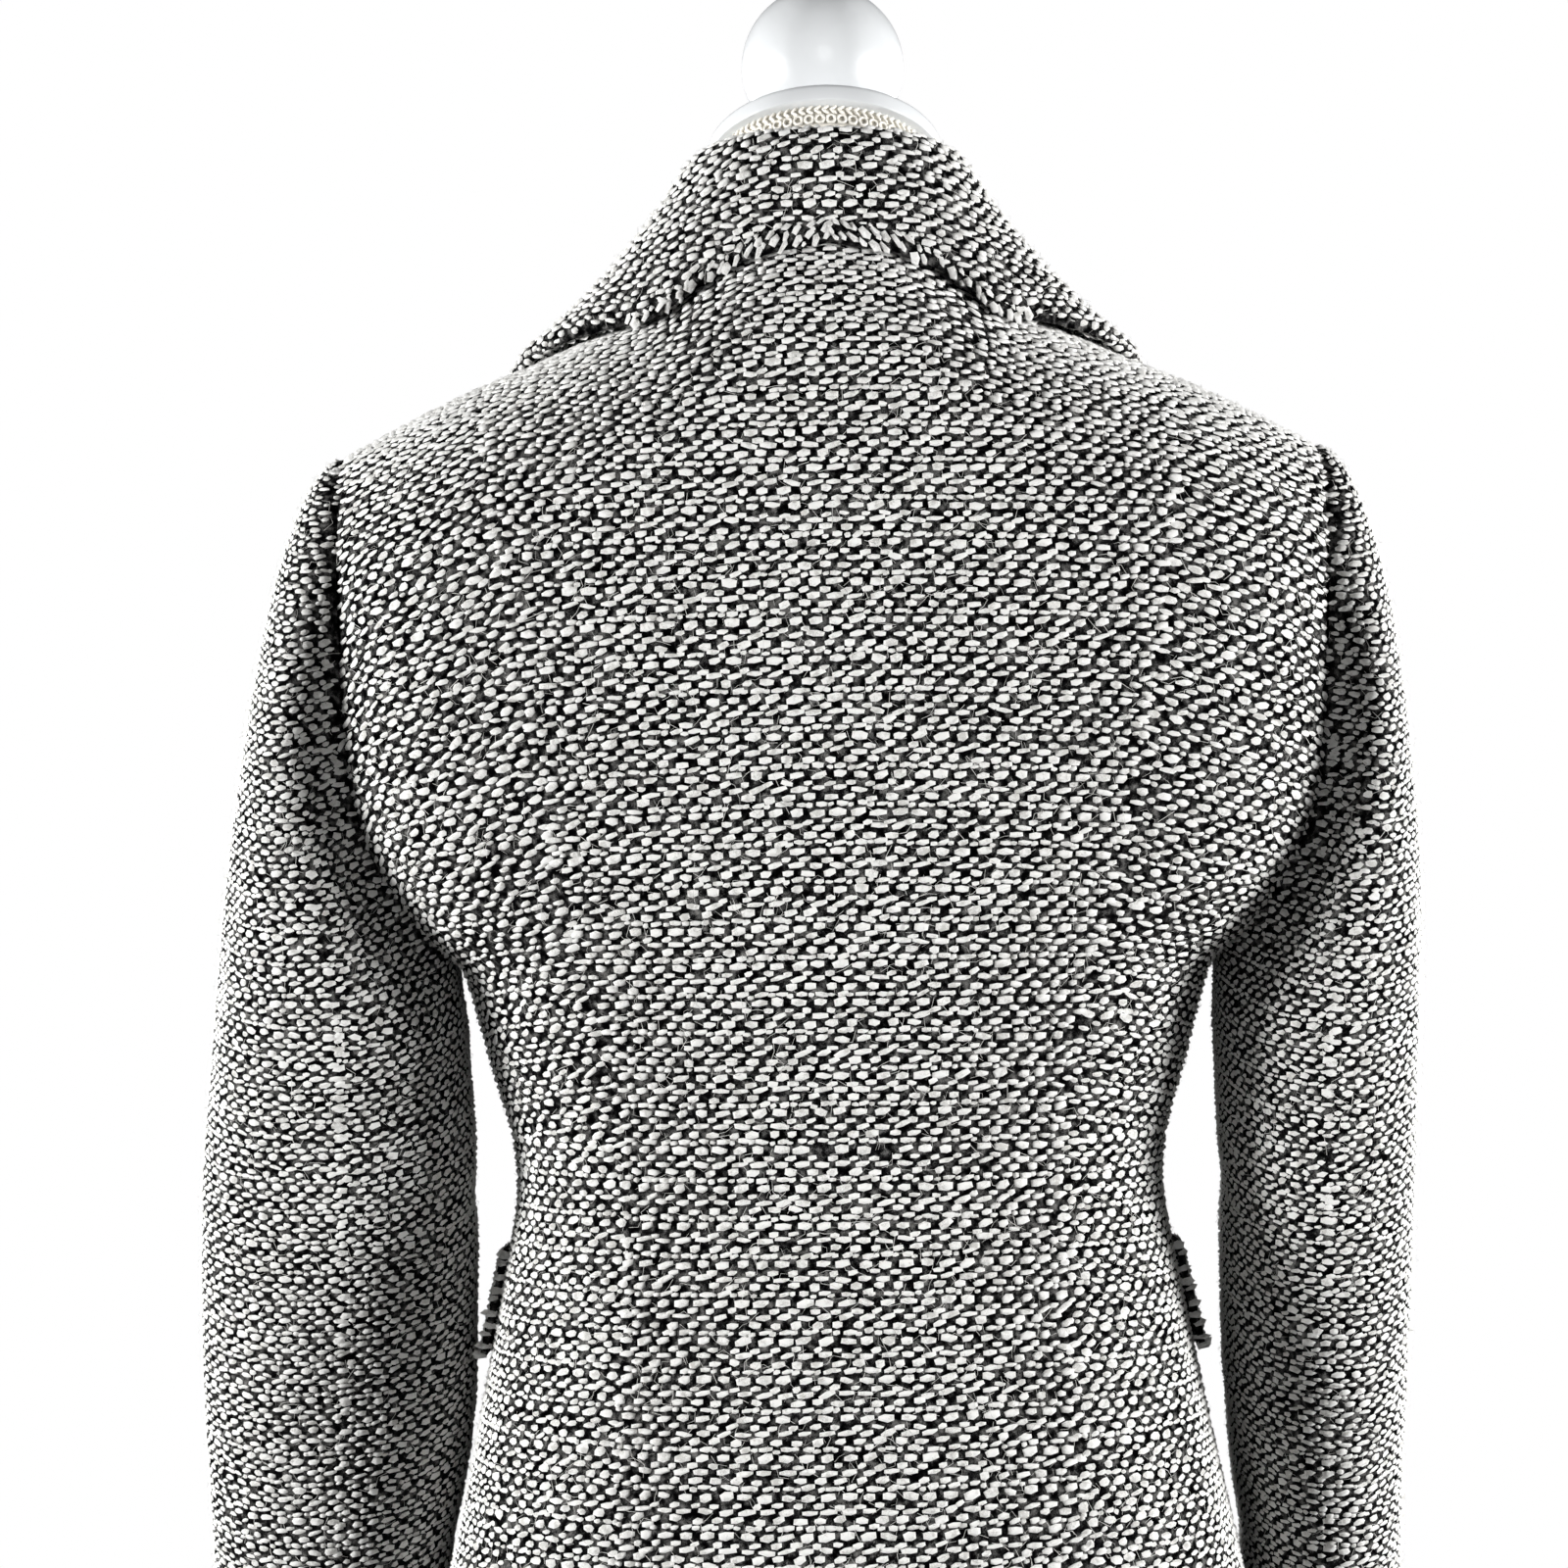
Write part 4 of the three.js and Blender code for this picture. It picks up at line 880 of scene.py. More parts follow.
class Scatter:
    """A Geometry Nodes tree that sets small shapes on points and joins them into one mesh."""

    def __init__(self, name: str, shapes: bpy.types.Collection) -> None:
        """Builds the tree.

        Args:
            name: Name of the tree.
            shapes: The shapes to choose from.
        """
        self.shapes = shapes
        tree = bpy.data.node_groups.new(name, "GeometryNodeTree")
        face = tree.interface
        face.new_socket("Geometry", in_out="INPUT", socket_type="NodeSocketGeometry")
        self.inputs = {
            word: face.new_socket(word, in_out="INPUT", socket_type=kind).identifier
            for word, kind in (
                ("Shapes", "NodeSocketCollection"),
                ("Finish", "NodeSocketMaterial"),
                ("Length", "NodeSocketFloat"),
                ("Seed", "NodeSocketInt"),
            )
        }
        face.new_socket("Geometry", in_out="OUTPUT", socket_type="NodeSocketGeometry")
        nodes, links = tree.nodes, tree.links
        start = nodes.new("NodeGroupInput")
        end = nodes.new("NodeGroupOutput")
        pool = nodes.new("GeometryNodeCollectionInfo")
        pool.transform_space = "ORIGINAL"
        pool.inputs["Separate Children"].default_value = True
        pool.inputs["Reset Children"].default_value = True
        turn = self.named(nodes, "turned")
        size = self.named(nodes, "size")
        grown = nodes.new("ShaderNodeVectorMath")
        grown.operation = "SCALE"
        pick = nodes.new("FunctionNodeRandomValue")
        pick.data_type = "INT"
        pick.inputs["Min"].default_value = 0
        pick.inputs["Max"].default_value = len(shapes.objects) - 1
        put = nodes.new("GeometryNodeInstanceOnPoints")
        put.inputs["Pick Instance"].default_value = True
        joined = nodes.new("GeometryNodeRealizeInstances")
        dressed = nodes.new("GeometryNodeSetMaterial")
        for giver, taker in (
            (start.outputs["Shapes"], pool.inputs["Collection"]),
            (start.outputs["Geometry"], put.inputs["Points"]),
            (pool.outputs[0], put.inputs["Instance"]),
            (turn.outputs["Attribute"], put.inputs["Rotation"]),
            (size.outputs["Attribute"], grown.inputs[0]),
            (start.outputs["Length"], grown.inputs["Scale"]),
            (grown.outputs[0], put.inputs["Scale"]),
            (start.outputs["Seed"], pick.inputs["Seed"]),
            (next(o for o in pick.outputs if o.enabled), put.inputs["Instance Index"]),
            (put.outputs[0], joined.inputs[0]),
            (joined.outputs[0], dressed.inputs["Geometry"]),
            (start.outputs["Finish"], dressed.inputs["Material"]),
            (dressed.outputs[0], end.inputs[0]),
        ):
            links.new(giver, taker)
        self.tree = tree

    @staticmethod
    def named(nodes: bpy.types.Nodes, name: str) -> bpy.types.Node:
        """A node that reads a vector of the points.

        Args:
            nodes: The tree's nodes.
            name: Name of the vector.

        Returns:
            The node.
        """
        made = nodes.new("GeometryNodeInputNamedAttribute")
        made.data_type = "FLOAT_VECTOR"
        made.inputs["Name"].default_value = name
        return made

    def lay(
        self, name: str, points: Grid, axes: tuple[Grid, Grid], sizes: Grid, chart: Grid,
        finish: bpy.types.Material, seed: int,
    ) -> bpy.types.Object:
        """Sets a shape on each point.

        Args:
            name: Name of the joined piece.
            points: Places in mm.
            axes: Direction of each shape's length, and outward direction.
            sizes: Length, width and height of each shape in mm.
            chart: Flat chart of each place, from 0 to 1.
            finish: Material of the shapes.
            seed: Seed of the choice of shapes.

        Returns:
            One plain mesh.
        """
        long, out = axes
        side = unit(np.cross(out, long))
        long = np.cross(side, out)
        turned = np.column_stack([
            np.arctan2(side[:, 2], out[:, 2]),
            np.arcsin(np.clip(-long[:, 2], -1, 1)),
            np.arctan2(long[:, 1], long[:, 0]),
        ])
        cloud = mesh_object(f"{name}_places", points, np.zeros((0, 3), int))
        flat = np.column_stack([chart, np.zeros(len(chart))])
        for word, values in (("turned", turned), ("size", sizes), ("flat", flat)):
            store = cloud.data.attributes.new(word, "FLOAT_VECTOR", "POINT")
            store.data.foreach_set("vector", np.ascontiguousarray(values, np.float32).ravel())
        setter = cloud.modifiers.new("scatter", "NODES")
        setter.node_group = self.tree
        setter[self.inputs["Shapes"]] = self.shapes
        setter[self.inputs["Finish"]] = finish
        setter[self.inputs["Length"]] = MM
        setter[self.inputs["Seed"]] = seed
        mesh = evaluated(cloud)
        old = cloud.data
        bpy.data.objects.remove(cloud)
        bpy.data.meshes.remove(old)
        mesh.name = name
        flat = np.empty(len(mesh.vertices) * 3, np.float32)
        mesh.attributes["flat"].data.foreach_get("vector", flat)
        mapped(mesh, flat.reshape(-1, 3)[:, :2])
        for word in ("turned", "size", "flat"):
            if word in mesh.attributes:
                mesh.attributes.remove(mesh.attributes[word])
        if not mesh.materials:
            mesh.materials.append(finish)
        return in_scene(name, mesh)


@dataclass(frozen=True)
class Cut:
    """How the weave lies on a piece.

    Attributes:
        detail: How finely the yarn is shaped.
        scale: Size of the repeat.
        stretch: Its length across the grain against the length along it.
        fill: Size of each float in its place.
        reach: How far outside the piece's edge yarn may start, in mm, drawn in to the edge.
    """

    detail: Detail = Detail.FINE
    scale: float = 1.0
    stretch: float = 1.0
    fill: float = 1.0
    reach: float = 0.9


@dataclass
class Boucle:
    """The weave: raised yarn in a repeat of six, over a ground with loose hairs.

    Attributes:
        repeat: Width and length of the repeat in mm.
        yarns: Down, across, length and width of each raised yarn, in mm.
        slant: Slope of the yarn in degrees.
        astray: How far a yarn strays across and along the grain, in mm.
        sizes: Least and greatest share of a yarn's length and width.
        hair_wide: Half the width of a hair, as a share of its length.
        hair_room: Least distance of a hair to an edge in mm.
    """

    repeat: tuple[float, float] = (7.3, 13.6)
    yarns: tuple[tuple[float, float, float, float], ...] = (
        (0.0, 0.0, 5.3, 2.9),
        (3.0, 3.6, 3.8, 2.0),
        (5.0, 0.0, 5.7, 2.1),
        (7.9, 3.0, 4.4, 2.6),
        (10.4, -0.9, 4.4, 2.0),
        (10.8, -3.9, 2.6, 1.7),
    )
    high: float = 1.0
    high_range: tuple[float, float] = (0.75, 1.25)
    slant: float = 6.0
    slant_spread: float = 7.0
    astray: tuple[float, float] = (0.32, 0.26)
    sizes: tuple[float, float] = (0.82, 1.2)
    drift: float = 0.5
    variants: int = 7
    hairs_per_cm2: float = 3.2
    hair_steps: int = 2
    hair_long: tuple[float, float] = (3.0, 7.5)
    hair_high: tuple[float, float] = (0.4, 1.7)
    hair_lift: tuple[float, float] = (0.1, 0.7)
    hair_wide: float = 0.012
    hair_room: float = 1.0
    seed: int = 41

    def __post_init__(self) -> None:
        """Makes the shapes, the trees and the finishes."""
        self.rng = np.random.default_rng(self.seed)
        self.ground = GroundFinish().make()
        self.wool = YarnFinish().make()
        self.hair = YarnFinish("wool_hair", (0.3, 0.295, 0.28), (0.72, 0.71, 0.68), 0.0002).make()
        self.trees = {}
        for detail in Detail:
            word = f"raised_yarn_{detail.name.lower()}"
            self.trees[detail] = Scatter(word, self.pool(word, self.yarn_shape, detail))
        self.hair_tree = Scatter("loose_hairs", self.pool("hairs", self.hair_shape, Detail.FINE))

    def pool(self, name: str, shape: object, detail: Detail) -> bpy.types.Collection:
        """Makes variants of a shape, kept out of the scene.

        Args:
            name: Name of the collection.
            shape: The method that makes a shape.
            detail: How finely it is made.

        Returns:
            The collection.
        """
        pool = bpy.data.collections.new(name)
        for k in range(self.variants):
            points, faces = shape(detail)
            mesh = bpy.data.meshes.new(f"{name}_{k}")
            mesh.from_pydata(points, [], faces)
            mesh.polygons.foreach_set("use_smooth", [True] * len(mesh.polygons))
            pool.objects.link(bpy.data.objects.new(mesh.name, mesh))
        return pool

    def yarn_shape(self, detail: Detail) -> tuple[list, list]:
        """A soft, uneven hump of yarn of length, width and height 1, open below.

        Args:
            detail: Sides of its outline, and whether it has a shoulder.

        Returns:
            Its points and faces.
        """
        sides, shouldered, _ = detail.value
        angles = (np.arange(sides) + self.rng.uniform(0.3, 0.7, sides)) * 2 * math.pi / sides
        boxy = (np.abs(np.cos(angles)) ** 2.8 + np.abs(np.sin(angles)) ** 2.8) ** (-1 / 2.8)
        boxy *= math.sqrt(6.0 / (sides * math.sin(2 * math.pi / sides)))
        reach = boxy * self.rng.uniform(0.88, 1.12, sides)
        ring = np.column_stack([
            0.5 * np.cos(angles) * reach, 0.5 * np.sin(angles) * reach, np.full(sides, -0.35)
        ])
        top = self.rng.uniform(-0.05, 0.05, (2, 3)) + [[-0.2, 0, 0.95], [0.2, 0, 0.95]]
        if shouldered:
            shoulder = ring * [0.86, 0.84, 1]
            shoulder[:, 2] = 0.45 + self.rng.uniform(-0.12, 0.12, sides)
            points = np.vstack([ring, shoulder, top])
            faces = [(k, (k + 1) % sides, (k + 1) % sides + sides, k + sides) for k in range(sides)]
        else:
            ring[:, 2] = 0.0
            points = np.vstack([ring, top])
            faces = []
        first = len(points) - 2 - sides
        left, right = len(points) - 2, len(points) - 1
        for k in range(sides):
            a, b = first + k, first + (k + 1) % sides
            near, far = (right if points[corner][0] > 0 else left for corner in (a, b))
            faces.append((a, b, near) if near == far else (a, b, far, near))
        return points.tolist(), faces

    def hair_shape(self, _: Detail) -> tuple[list, list]:
        """A thin bent hair of length, width and height 1.

        Returns:
            Its points and faces.
        """
        steps = self.hair_steps
        bow = self.rng.uniform(-0.35, 0.35)
        points = []
        for k in range(steps + 1):
            t = k / steps
            y = bow * math.sin(math.pi * t) + self.rng.uniform(-0.06, 0.06)
            z = math.sin(math.pi * t) * self.rng.uniform(0.6, 1.0)
            points += [(t - 0.5, y - self.hair_wide, z), (t - 0.5, y + self.hair_wide, z)]
        faces = [(2 * k, 2 * k + 2, 2 * k + 3, 2 * k + 1) for k in range(steps)]
        return points, faces

    def spots(self, face: Face, u: Grid, v: Grid, room: float, reach: float = 0.4) -> tuple:
        """Places on a face for flat chart points that keep clear of its borders.

        Args:
            face: The charted face.
            u: Places across the grain in mm.
            v: Places along the grain in mm.
            room: Least distance to a border in mm.
            reach: How far outside the face a point may lie, in mm.

        Returns:
            Which points were kept, their places, outward and grain directions, and chart.
        """
        s, t, inside = found(face, u, v, reach)
        kept = np.nonzero(inside)[0]
        s, t = s[kept], t[kept]
        clear = sampled(face.border, s, t) >= room
        kept, s, t = kept[clear], s[clear], t[clear]
        out = unit(sampled(face.normals, s, t))
        steps = [
            [sampled(g, s + a, t + b) - sampled(g, s - a, t - b) for a, b in ((0.4, 0), (0, 0.4))]
            for g in (face.points, face.along)
        ]
        (down, aside), (fall, drift) = steps
        flow = sampled(face.across, s + 0.4, t) - sampled(face.across, s - 0.4, t)
        cross = sampled(face.across, s, t + 0.4) - sampled(face.across, s, t - 0.4)
        turn = np.sign(cross * fall - flow * drift)
        across = unit((aside * fall[:, None] - down * drift[:, None]) * turn[:, None])
        points = sampled(face.points, s, t)
        return kept, points, out, across, sampled(face.chart(), s, t)

    def weave(self, name: str, face: Face, cut: Cut) -> list[bpy.types.Object]:
        """Lays the raised yarn and the loose hairs on a face.

        Args:
            name: Name of the piece of cloth.
            face: Its charted outer face.
            cut: How the weave lies on the piece.

        Returns:
            The joined yarn, and the joined hairs where there is room for them.
        """
        rng = self.rng
        wider, taller = cut.scale * cut.stretch, cut.scale
        wide, tall = self.repeat[0] * wider, self.repeat[1] * taller
        low_u, high_u = face.across.min(), face.across.max()
        low_v, high_v = face.along.min(), face.along.max()
        i, j = np.meshgrid(
            np.arange(math.floor(low_u / wide) - 1, math.ceil(high_u / wide) + 2),
            np.arange(math.floor(low_v / tall) - 1, math.ceil(high_v / tall) + 2),
        )
        rows = []
        drift = self.drift * np.sin(j * 1.7 + i * 0.31)
        for down, side, length, width in self.yarns:
            n = i.size
            rows.append(np.column_stack([
                (i * wide + side * wider + drift).ravel() + rng.normal(0, self.astray[0], n),
                (j * tall - down * taller).ravel() + rng.normal(0, self.astray[1], n),
                length * wider * cut.fill * rng.uniform(*self.sizes, n),
                width * taller * cut.fill * rng.uniform(*self.sizes, n),
            ]))
        yarn = np.vstack(rows)
        kept, points, out, across, chart = self.spots(face, yarn[:, 0], yarn[:, 1], 0.0, cut.reach)
        yarn = yarn[kept]
        n = len(kept)
        angle = rng.normal(math.radians(self.slant), math.radians(self.slant_spread), n)
        long = slanted(out, across, angle)
        high = self.high * rng.uniform(*self.high_range, n)
        sizes = np.column_stack([yarn[:, 2], yarn[:, 3], high])
        laid = self.trees[cut.detail].lay(
            f"{name}_yarn", points, (long, out), sizes, chart, self.wool, self.seed
        )
        _, _, area = face.flat_size()
        count = int(area * 1e4 * self.hairs_per_cm2 * cut.detail.value[2])
        u = rng.uniform(low_u, high_u, count * 2)
        v = rng.uniform(low_v, high_v, count * 2)
        kept, points, out, across, chart = self.spots(face, u, v, self.hair_room)
        n = len(kept[:count])
        if n == 0:
            return [laid]
        points, out, across, chart = points[:n], out[:n], across[:n], chart[:n]
        long = slanted(out, across, rng.uniform(0, 2 * math.pi, n))
        size = rng.uniform(*self.hair_long, n)
        sizes = np.column_stack([size, size, rng.uniform(*self.hair_high, n)])
        points = points + out * rng.uniform(*self.hair_lift, n)[:, None]
        hairs = self.hair_tree.lay(
            f"{name}_hairs", points, (long, out), sizes, chart, self.hair, self.seed + 1
        )
        return [laid, hairs]


@dataclass
class Cloth:
    """One cut piece of the blazer: its shell, raised yarn and hairs."""

    node: str
    face: Face
    held: str
    rests_on: tuple[str, ...]
    cut: Cut = Cut()
    shown: tuple[Face, ...] = ()

    def build(self, boucle: Boucle) -> None:
        """Args:
            boucle: The weave.
        """
        wall = shell(f"{self.node}_cloth", self.face)
        wall.data.materials.append(boucle.ground)
        yarn = boucle.weave(self.node, self.face, self.cut)
        for k, part in enumerate(self.shown):
            yarn += boucle.weave(f"{self.node}_strip_{k + 1}", part, self.cut)
        for piece in (wall, *yarn):
            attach(piece, "root")
        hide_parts(self.node)
        width, length, area = self.face.flat_size()
        report(wall, *yarn)


def declare(piece: bpy.types.Object, node: str | None, finish: bpy.types.Material) -> None:
    """Gives a hard piece its finish and its place in the frame.

    Args:
        piece: The piece.
        node: The solid that it stands for, if any.
        finish: Its material.
    """
    if not piece.data.materials:
        piece.data.materials.append(finish)
    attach(piece, "root")
    if node:
        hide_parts(node)
    report(piece)


def report(*pieces: bpy.types.Object) -> None:
    """Logs pieces.

    Args:
        *pieces: The pieces, each told with its count of triangles.
    """
    for piece in pieces:
        triangles = sum(len(p.vertices) - 2 for p in piece.data.polygons)
        logging.info("%s: %d triangles", piece.name, triangles)


@dataclass
class Bodice:
    """Back, side and front pieces from the waist seam to the shoulder, and the peplum."""

    fine: int = 5
    overlap_ramp: float = 34.0
    back_cut: Cut = Cut(reach=0.1)
    side_cut: Cut = Cut(Detail.MIDDLE, stretch=1.15, fill=0.91, reach=0.6)
    skirt_cut: Cut = Cut(Detail.MIDDLE, fill=0.95)
    side_slope: float = 8.0
    back_columns: int = 60
    front_columns: int = 32
    side_columns: int = 20
    skirt_columns: tuple[int, int] = (48, 30)
    skirt_rows: int = 50
    lap_ease: float = 4.0

    def steps(self) -> Grid:
        """Fine steps from the waist seam to the shoulder line."""
        count = SIDE_STEPS + LOW_STEPS + HIGH_STEPS
        return np.linspace(0, count, count * self.fine + 1)

    def princess(self, front: bool) -> tuple[Grid, Grid]:
        """Follows a princess seam at each fine step.

        Args:
            front: Whether it is the front's.

        Returns:
            Its turn and rise.
        """
        table = FRONT_PRINCESS if front else BACK_PRINCESS
        r = self.steps()
        top_out = table.rows[-1][1]
        top_turn = WORN.turn_at(top_out, SHOULDER.at(top_out, "up"), front)
        up = mix(WAIST_UP, ARMPIT_UP, np.clip(r / SIDE_STEPS, 0, 1))
        turn = WORN.turn_at(table.at(up, "out"), up, front)
        rise = WORN.rise_at(turn, up)
        above = r - SIDE_STEPS
        mid_turn, mid_rise = turn[-1], rise[-1]
        high = np.where(
            above <= LOW_STEPS,
            mix(mid_rise, 0, above / LOW_STEPS),
            SHOULDER_ROUND * (above - LOW_STEPS) / HIGH_STEPS,
        )
        bent = mix(mid_turn, top_turn, above / (LOW_STEPS + HIGH_STEPS))
        for _ in range(8):
            there = WORN.place(bent, high)[..., 2] - BUST_LINE
            bent = WORN.turn_at(table.at(there, "out"), there, front)
        bent[-1] = top_turn
        return np.where(above > 0, bent, turn), np.where(above > 0, high, rise)

    def side_edge(self, front: bool) -> tuple[Grid, Grid]:
        """Follows the side seam and then the armhole.

        Args:
            front: Whether it is the front's half.

        Returns:
            Turn and rise at each fine step.
        """
        r = self.steps()
        up = mix(WAIST_UP, ARMPIT_UP, np.clip(r / SIDE_STEPS, 0, 1))
        low_turn = np.full_like(r, 90.0)
        low_rise = WORN.rise_at(low_turn, up)
        step = LOW_STEPS + HIGH_STEPS - (r - SIDE_STEPS)
        turn, rise = ARMHOLE.at(ARMHOLE.share(np.clip(step, 0, 10)), front)
        return np.where(r > SIDE_STEPS, turn, low_turn), np.where(r > SIDE_STEPS, rise, low_rise)

    @staticmethod
    def between(left: tuple[Grid, Grid], right: tuple[Grid, Grid], columns: int) -> tuple[Grid, Grid]:
        """Fills in between two edges.

        Args:
            left: Turn and rise of the first edge.
            right: Turn and rise of the second edge.
            columns: Number of steps from one to the other.

        Returns:
            A grid of turns and one of rises.
        """
        t = np.linspace(0, 1, columns + 1)[None]
        turn = mix(left[0][:, None], right[0][:, None], t)
        share = mix(WORN.share_of(*left)[:, None], WORN.share_of(*right)[:, None], t)
        return turn, WORN.rise_of(turn, share)

    def lap_lift(self, turn: Grid) -> Grid:
        """How far the right front stands off over the left one.

        Args:
            turn: Degrees from the centre back.

        Returns:
            The lift in mm.
        """
        out = SHOULDER_HALF * np.sin(np.radians(180 - turn))
        low = OVERLAP + self.lap_ease
        near = 1 - smooth_step(out, low, low + self.overlap_ramp)
        return (CLOTH + LAYER_GAP) * near

    def face(self, turn: Grid, rise: Grid, side: Side, lift: Grid | float = 0.0, **more: float) -> Face:
        """The charted face over a grid of turns and rises, with its creases.

        Args:
            turn: Degrees from the centre back, on the wearer's left.
            rise: Height from where the shoulder starts to round.
            side: The side to put it on.
            lift: How far it stands off the worn shape, in mm.
            **more: How its chart lies.

        Returns:
            The face.
        """
        turn = turn * side.value
        normal = WORN.normal(turn, rise)
        stand = WORN.crease(turn, rise) + lift
        level = WORN.place(turn + 0.5, rise) - WORN.place(turn - 0.5, rise)
        level[..., 2] = 0
        points = WORN.place(turn, rise) + normal * np.asarray(stand)[..., None]
        return Face(points, normal, level=unit(level), **more)

    def back(self) -> Face:
        """The back piece, in one from seam to seam.

        Returns:
            The charted face.
        """
        edge = self.princess(False)
        share = WORN.share_of(*edge)[:, None]
        across = np.linspace(-1, 1, self.back_columns + 1)[None]
        turn = edge[0][:, None] * across
        top_turn = edge[0][-1] * across
        neck_turn = WORN.turn_at(*NECK_POINT, False)
        part = np.minimum(np.abs(top_turn) / neck_turn, 1)
        top = mix(NAPE_ROUND, SHOULDER_ROUND, part**1.8)
        rise = WORN.rise_of(turn, share * WORN.share_of(top_turn, top))
        return self.face(turn, rise, Side.LEFT)

    def front(self, side: Side) -> Face:
        """A front piece with its edge and the roll of its lapel.

        Args:
            side: The wearer's side.

        Returns:
            The charted face.
        """
        r = self.steps()
        low = SIDE_STEPS + LOW_STEPS
        top = FRONT_EDGE.rows[-1][0]
        high = (r - low) / HIGH_STEPS
        up = np.where(
            high > 0,
            top - SHOULDER_ROUND * (1 - np.sin(np.clip(high, 0, 1) * math.pi / 2)),
            mix(WAIST_UP, top - SHOULDER_ROUND, r / low),
        )
        turn = WORN.turn_at(FRONT_EDGE.at(up, "out"), up, True)
        rise = WORN.rise_at(turn, up)
        rise[-1] = SHOULDER_ROUND
        grid = self.between(self.princess(True), (turn, rise), self.front_columns)
        lift = self.lap_lift(grid[0]) if side is Side.RIGHT else 0.0
        return self.face(*grid, side, lift)

    def skirt_up(self) -> Grid:
        """Heights of the peplum's rows, from the hem to the waist seam."""
        return np.linspace(HEM_UP, WAIST_UP, self.skirt_rows + 1)

    def peplum(self, left: Grid, right: Grid, columns: int, side: Side, lap: bool = False) -> Face:
        """A piece of the peplum between two seams.

        Args:
            left: Turn of the first seam at each row.
            right: Turn of the second seam at each row.
            columns: Columns of the grid.
            side: The wearer's side.
            lap: Whether it laps over the other front.

        Returns:
            The charted face.
        """
        t = np.linspace(0, 1, columns + 1)[None]
        turn = mix(left[:, None], right[:, None], t)
        rise = WORN.rise_at(turn, self.skirt_up()[:, None])
        lift = self.lap_lift(turn) if lap else 0.0
        return self.face(turn, rise, side, lift, base_row=-1)

    def build(self, boucle: Boucle) -> None:
        """Builds all pieces of the bodice and the peplum.

        Args:
            boucle: The weave.
        """
        columns = self.side_columns
        plain = Cut(Detail.PLAIN)
        up = self.skirt_up()
        back_seam = WORN.turn_at(BACK_PRINCESS.at(up, "out"), up, False)
        front_seam = WORN.turn_at(FRONT_PRINCESS.at(up, "out"), up, True)
        side_seam = np.full_like(up, 90.0)
        front_edge = WORN.turn_at(np.full_like(up, -OVERLAP), up, True)
        whole = self.peplum(-back_seam, back_seam, self.skirt_columns[0], Side.LEFT)
        pieces = [("back_bodice", self.back(), self.back_cut), ("back_peplum", whole, self.back_cut)]
        for side in Side:
            word, lap = side.word, side is Side.RIGHT
            back = self.between(self.princess(False), self.side_edge(False), columns)
            back_side = self.face(*back, side, grain=-self.side_slope * side.value)
            ahead = self.between(self.princess(True), self.side_edge(True), columns)
            behind = self.peplum(back_seam, side_seam, columns, side)
            beside = self.peplum(front_seam, side_seam, columns, side)
            skirt = self.peplum(front_seam, front_edge, self.skirt_columns[1], side, lap)
            pieces += [
                (f"back_side_{word}", back_side, self.side_cut),
                (f"front_side_{word}", self.face(*ahead, side), plain),
                (f"front_{word}", self.front(side), plain),
                (f"back_side_peplum_{word}", behind, self.skirt_cut),
                (f"front_side_peplum_{word}", beside, plain),
                (f"front_peplum_{word}", skirt, plain),
            ]
        for node, face, cut in pieces:
            Cloth(node, face, "hung", ("form_torso",), cut).build(boucle)


